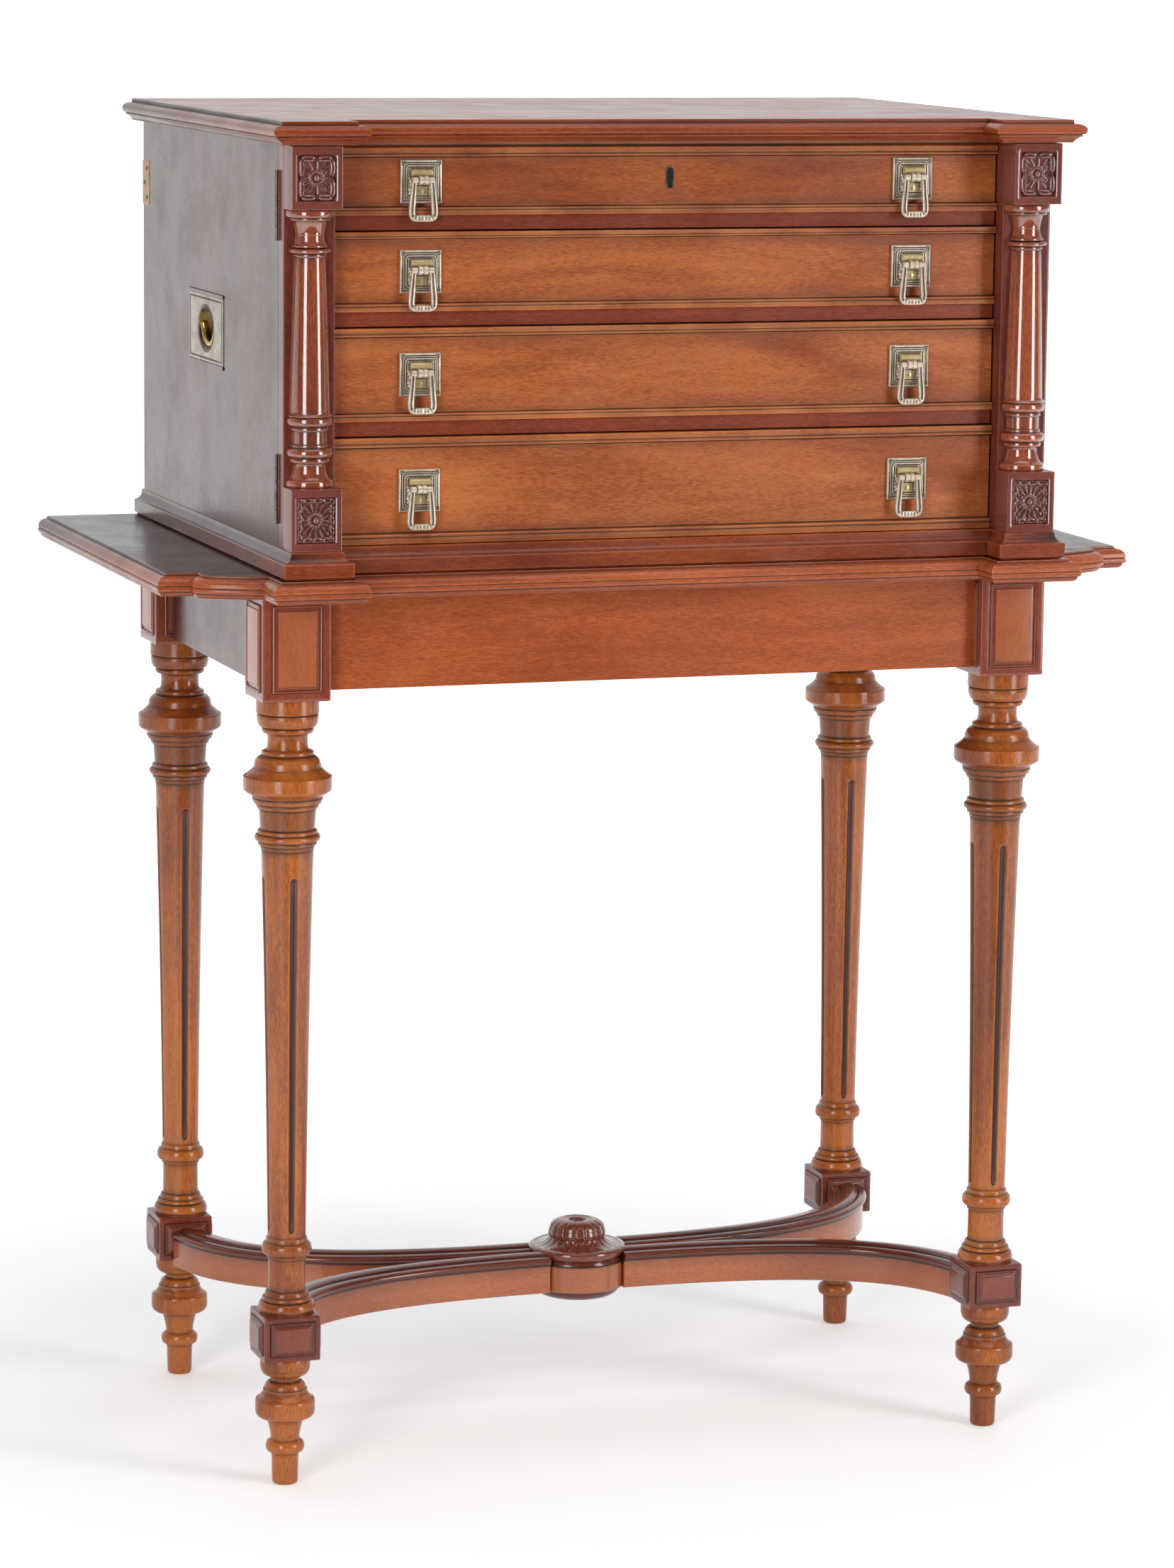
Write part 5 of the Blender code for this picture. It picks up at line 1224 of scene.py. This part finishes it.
def screw_head(side, y, z, radius, turn):
    """A countersunk screw set in the flush plate: a low slotted dome on a round grid."""
    share = np.array([1.0, 0.98, 0.9, 0.7, 0.45, 0.2, 0.03])[:, None]
    angle = np.arange(40)[None] * math.tau / 40
    u, v = radius * share * np.cos(angle), radius * share * np.sin(angle)
    across = np.abs(u * math.sin(turn) - v * math.cos(turn))
    out = 0.35 * np.sqrt(1 - share ** 2 * 0.98) - 0.3 * np.exp(-(across / 0.24) ** 2)
    u, v = np.concatenate([u[:1], u]), np.concatenate([v[:1], v])
    out = np.concatenate([np.full((1, 40), -0.8), out - 0.2])
    return skinned(np.stack(to_side(side, side * FLUSH_X, y, z)(u * MM, v * MM, out * MM), axis=-1))


def make_flush_handles():
    """The lifting handles in the sides: plate and screws, wooden fillets that close the recess, ring."""
    for hand, side in SIDES:
        low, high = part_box(f"flush_{hand}_plate")
        y, z = (low.y + high.y) / 2, (low.z + high.z) / 2
        heads = [screw_head(side, y + a * MM, z + b * MM, 1.5, a + b) for a in (-46.2, 46.2)
                 for b in (-21.4, 21.4)]
        piece(f"flush_plate_{hand}_cast", [flush_plate(side, y, z)] + heads, FLUSH_BRASS, ROOT,
              (f"flush_{hand}_plate",), spread=0.4)
        inner, outer = sorted((side * FILLET_IN, side * FILLET_OUT))
        fillets = [board((inner, y - FILLET_HALF, z + a), (outer, y + FILLET_HALF, z + b), 0.1 * MM)
                   for a, b in ((FILLET_LOW, FILLET_HIGH), (-FILLET_HIGH, -FILLET_LOW))]
        piece(f"flush_fillets_{hand}", fillets, WOOD_SIDE, ROOT, spread=0.2)
        turn = np.linspace(0, math.pi, 49)
        arc = np.stack([RING_HALF * np.cos(turn), -RING_DROP * np.sin(turn)], axis=-1)
        path = np.concatenate([[(19.4, 0.3), (18.6, 0.1)], arc, [(-18.6, 0.1), (-19.4, 0.3)]])
        path = np.stack([np.full(len(path), side * RING_X), y / MM + path[:, 0],
                         z / MM + RING_UP + path[:, 1]], axis=-1) * MM
        round_turn = np.arange(20) * math.tau / 20
        section = np.stack([np.cos(round_turn), np.sin(round_turn)], axis=-1) * RING_RADIUS
        piece(f"flush_ring_{hand}_cast", [swept(path, section, (1, 0, 0))], RING_BRASS,
              f"flush_{hand}_ring", (f"flush_{hand}_ring",))


STILE_PIN = (300.4 * MM, -180.85 * MM)
STILE_KNUCKLE, LID_KNUCKLE = 1.3 * MM, 2.7 * MM
LEAF_IN, LEAF_OUT = 287 * MM, 298.8 * MM


def make_hinges():
    """Five-knuckle butt hinges: the odd knuckles and one leaf stay on the case, the rest swing."""
    jobs = [(f"stile_hinge_{hand}_{level}", 2, side, "stile_" + hand) for hand, side in SIDES
            for level in ("low", "high")]
    jobs += [("lid_hinge_" + hand, 0, side, "lid") for hand, side in SIDES]
    for node, along, side, swinging in jobs:
        low, high = (np.array(corner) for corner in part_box(node))
        if along == 2:
            radius = STILE_KNUCKLE
            centre = (side * STILE_PIN[0], STILE_PIN[1])
        else:
            radius = LID_KNUCKLE
            centre = (high[1] - radius, low[2] + radius)
        stops = np.linspace(low[along], high[along], 6)
        fixed, swung = [], []
        for number, (start, end) in enumerate(zip(stops[:-1], stops[1:])):
            barrel = pin(along, start + 0.08 * MM, end - 0.08 * MM, centre, radius)
            (swung if number % 2 else fixed).append(barrel)
        if along == 2:
            near, far = sorted((side * LEAF_IN, side * LEAF_OUT))
            for leaves, front, back in ((fixed, -180.75, -180.1), (swung, -181.6, -180.79)):
                leaves.append(board((near, front * MM, low[2] + 0.1 * MM),
                                    (far, back * MM, high[2] - 0.1 * MM), 0.15 * MM))
        else:
            fixed.append(board((low[0] + 0.1 * MM, low[1], centre[1] + 1.5 * MM),
                               (high[0] - 0.1 * MM, centre[0], centre[1] + 2.65 * MM), 0.15 * MM))
        piece(node + "_fixed", fixed, DARK_METAL, ROOT, (node,))
        piece(node + "_swinging", swung, DARK_METAL, swinging)


def keyhole_outline(grow):
    """A keyhole from the front, in mm: a round eye over a slot that widens downwards, grown by a margin."""
    eye = np.linspace(-0.22 * math.pi, 1.22 * math.pi, 33)
    top = np.stack([2.8 * np.cos(eye), 4.3 + 2.8 * np.sin(eye)], axis=-1)
    foot = np.linspace(1.15 * math.pi, 1.85 * math.pi, 15)
    low = np.stack([2.3 * np.cos(foot), -6.4 + 1.5 * np.sin(foot)], axis=-1)
    line = np.concatenate([top, low])
    run = np.roll(line, -1, axis=0) - np.roll(line, 1, axis=0)
    normal = np.stack([run[:, 1], -run[:, 0]], axis=-1)
    return line + normal / np.linalg.norm(normal, axis=1)[:, None] * grow


KEYHOLE_Y, KEYHOLE_Z = -180.5 * MM, 980.9 * MM


def keyhole_rings(steps):
    """Rings round the keyhole, each step a pair: how far it is grown, and how far out it lies."""
    place = to_front(0, KEYHOLE_Y, KEYHOLE_Z)
    lines = [(keyhole_outline(grow) * MM, out * MM) for grow, out in steps]
    return np.stack([np.stack(place(*line.T, np.full(len(line), out)), axis=-1) for line, out in lines])


def make_keyhole():
    """A thin metal lining that stands just proud of the top front, round a near-black sheet that is painted
    shade for the hole.
    """
    lining = keyhole_rings([(0.0, -2.0), (0.0, 0.15), (0.2, 0.3), (0.45, 0.35), (0.7, 0.25), (0.8, 0.1),
                            (0.8, -2.0)])
    hole = keyhole_rings([(0.3, -1.0), (0.3, 0.02), (-0.4, 0.04)])
    piece("keyhole_lining", [skinned(lining, True)], DARK_METAL, ROOT)
    # The hole is a near-black sheet: painted shade.
    piece("keyhole_dark", [skinned(hole)], HOLE_SHADE, ROOT)


STRAP_X, STRAP_Y = 299.5 * MM, 226 * MM
STRAP_LOW, STRAP_HIGH = 941 * MM, 976 * MM
STRAP_ARMS = ((297.5 * MM, 206.5 * MM), (279 * MM, 224.5 * MM))
STRAP_SCREWS = ((212.5 * MM, 947 * MM), (220 * MM, 958.5 * MM), (212.5 * MM, 970 * MM))


def make_straps():
    """A thin strap let over each back corner, with three screws."""
    for hand, side in SIDES:
        out = side * STRAP_X
        flat = []
        for inner, front in STRAP_ARMS:
            near, far = sorted((out, side * inner))
            flat.append(board((near, front, STRAP_LOW), (far, STRAP_Y, STRAP_HIGH), 0.2 * MM))
        piece("corner_strap_" + hand, flat, STRAP_BRASS, ROOT)
        near, far = sorted((out, out + side * 0.1 * MM))
        heads = [pin(0, near - 0.5 * MM, far + 0.15 * MM, place, 1.7 * MM) for place in STRAP_SCREWS]
        piece("corner_strap_screws_" + hand, heads, DARK_METAL, ROOT)


# Stage, light and camera

def aimed(name, data, place, right, up, back):
    """Put a lamp or camera at a place; it looks away from its third axis."""
    thing = bpy.data.objects.new(name, data)
    bpy.context.scene.collection.objects.link(thing)
    turn = Matrix(np.stack([right, up, back], axis=-1).tolist())
    thing.matrix_world = Matrix.Translation(place) @ turn.to_4x4()
    return thing


def soft_lamp(name, place, target, width, height, power):
    """A tall soft box that looks at a point."""
    lamp = bpy.data.lights.new(name, "AREA")
    lamp.shape = "RECTANGLE"
    lamp.size = width
    lamp.size_y = height
    lamp.energy = power
    back = np.array(place) - target
    back /= np.linalg.norm(back)
    right = np.cross((0, 0, 1), back)
    right /= np.linalg.norm(right)
    aimed(name, lamp, place, right, np.cross(back, right), back)


def make_stage():
    """A white floor that keeps the shadow, under a world that is white behind the object and dim before it.

    The floor's own glow, for what the camera and the glosses see, grows from the middle outwards,
    so that the floor has no far edge. It starts just before the object, so that the front faces
    mirror a dim studio.
    """
    mesh = bpy.data.meshes.new("floor")
    reach = 90.0
    mesh.from_pydata([(-reach, FLOOR_FRONT_Y, 0), (reach, FLOOR_FRONT_Y, 0), (reach, reach, 0),
                      (-reach, reach, 0)], [], [(0, 1, 2, 3)])
    floor = bpy.data.objects.new("floor", mesh)
    bpy.context.scene.collection.objects.link(floor)
    paint = Finish("floor_white", Roughness=0.7, Base_Color=(0.84, 0.84, 0.84, 1))
    mesh.materials.append(paint.material)
    glossy = paint.node("LightPath", output="Is Glossy Ray")
    seen = paint.node("LightPath", output="Is Camera Ray") + glossy * 0.9
    place = paint.node("TexCoord", output="Object")
    away = paint.node("VectorMath", {"operation": "LENGTH"}, {0: place}, output="Value")
    glow = away.between(0.5, 1.9) * 0.68 + 0.32
    paint.shader.inputs["Emission Color"].default_value = (1, 1, 1, 1)
    paint.join(paint.shader.inputs["Emission Strength"], seen.held() * glow)
    world = bpy.data.worlds.new("studio")
    world.use_nodes = True
    bpy.context.scene.world = world
    tree = world.node_tree

    def add(kind, **values):
        made = tree.nodes.new("ShaderNode" + kind)
        for name, value in values.items():
            made.inputs[name.replace("_", " ")].default_value = value
        return made

    room = tree.nodes["Background"]
    room.inputs["Color"].default_value = (0.93, 0.94, 0.96, 1)
    white = add("Background", Color=(1, 1, 1, 1))
    parts = add("SeparateXYZ")
    ramp = add("MapRange", From_Min=-0.25, From_Max=0.75, To_Min=0.12, To_Max=1.0)
    both = add("MixShader")
    for start, end in ((add("TexCoord").outputs["Generated"], parts.inputs[0]),
                       (parts.outputs["Y"], ramp.inputs["Value"]),
                       (ramp.outputs[0], room.inputs["Strength"]),
                       (add("LightPath").outputs["Is Camera Ray"], both.inputs[0]),
                       (room.outputs[0], both.inputs[1]),
                       (white.outputs[0], both.inputs[2]),
                       (both.outputs[0], tree.nodes["World Output"].inputs["Surface"])):
        tree.links.new(start, end)


def make_camera():
    """The camera that fits the photograph: yaw and pitch give its line of sight, then it rolls."""
    yaw, pitch, roll = (math.radians(a) for a in (CAMERA_YAW, CAMERA_PITCH, CAMERA_ROLL))
    ahead = np.array([math.sin(yaw) * math.cos(pitch), math.cos(yaw) * math.cos(pitch), -math.sin(pitch)])
    level = np.array([math.cos(yaw), -math.sin(yaw), 0])
    down = np.cross(ahead, level)
    right = math.cos(roll) * level + math.sin(roll) * down
    up = math.sin(roll) * level - math.cos(roll) * down
    camera = bpy.data.cameras.new("camera")
    camera.sensor_width = SENSOR
    camera.lens = FOCAL_PIXELS * SENSOR / PICTURE_HEIGHT
    camera.clip_end = 300
    bpy.context.scene.camera = aimed("camera", camera, CAMERA_PLACE, right, up, -ahead)


def make_light():
    """Two tall soft boxes at 42 degrees to either side of the front, and a broad one overhead."""
    soft_lamp("lamp_left", (-2.05, -2.3, 1.15), (0, 0, 0.6), 0.9, 2.3, 46)
    soft_lamp("lamp_right", (2.05, -2.3, 1.15), (0, 0, 0.6), 0.85, 2.3, 51)
    soft_lamp("lamp_above", (0.2, -0.9, 3.4), (0, 0.001, 0.6), 2.6, 2.2, 28)


def finish_frame():
    """Give the CAD nodes that stay their finishes."""
    finishes = {"case_side": WOOD_SIDE, "case_back": WOOD_UPRIGHT, "apron_front": WOOD_APRON,
                "apron_back": WOOD_APRON, "apron_left": WOOD_DEEP, "apron_right": WOOD_DEEP,
                "rail": WOOD_RAIL, "drawer_low_box": LINING, "drawer_middle_box": LINING,
                "drawer_high_box": LINING}
    for thing in bpy.context.scene.objects:
        for start, finish in finishes.items():
            if thing.name.startswith(start) and thing.type == "MESH":
                for slot in thing.material_slots:
                    slot.material = finish


bpy.context.scene.view_settings.view_transform = "Standard"
make_camera()
make_stage()
make_light()
finish_frame()
make_stand_top()
make_legs()
make_stretcher()
make_plinth()
make_lid()
make_front("top_front_banded", "top_front", ROOT, 5.9 * MM, 6.6 * MM, 3.2 * MM)
make_front("drawer_high_banded", "drawer_high_front", "drawer_high", 5.8 * MM, 5.0 * MM)
make_front("drawer_middle_banded", "drawer_middle_front", "drawer_middle", 5.6 * MM, 6.4 * MM)
make_front("drawer_low_banded", "drawer_low_front", "drawer_low", 7.6 * MM, 7.2 * MM)
make_stiles()
make_handles()
make_flush_handles()
make_hinges()
make_keyhole()
make_straps()
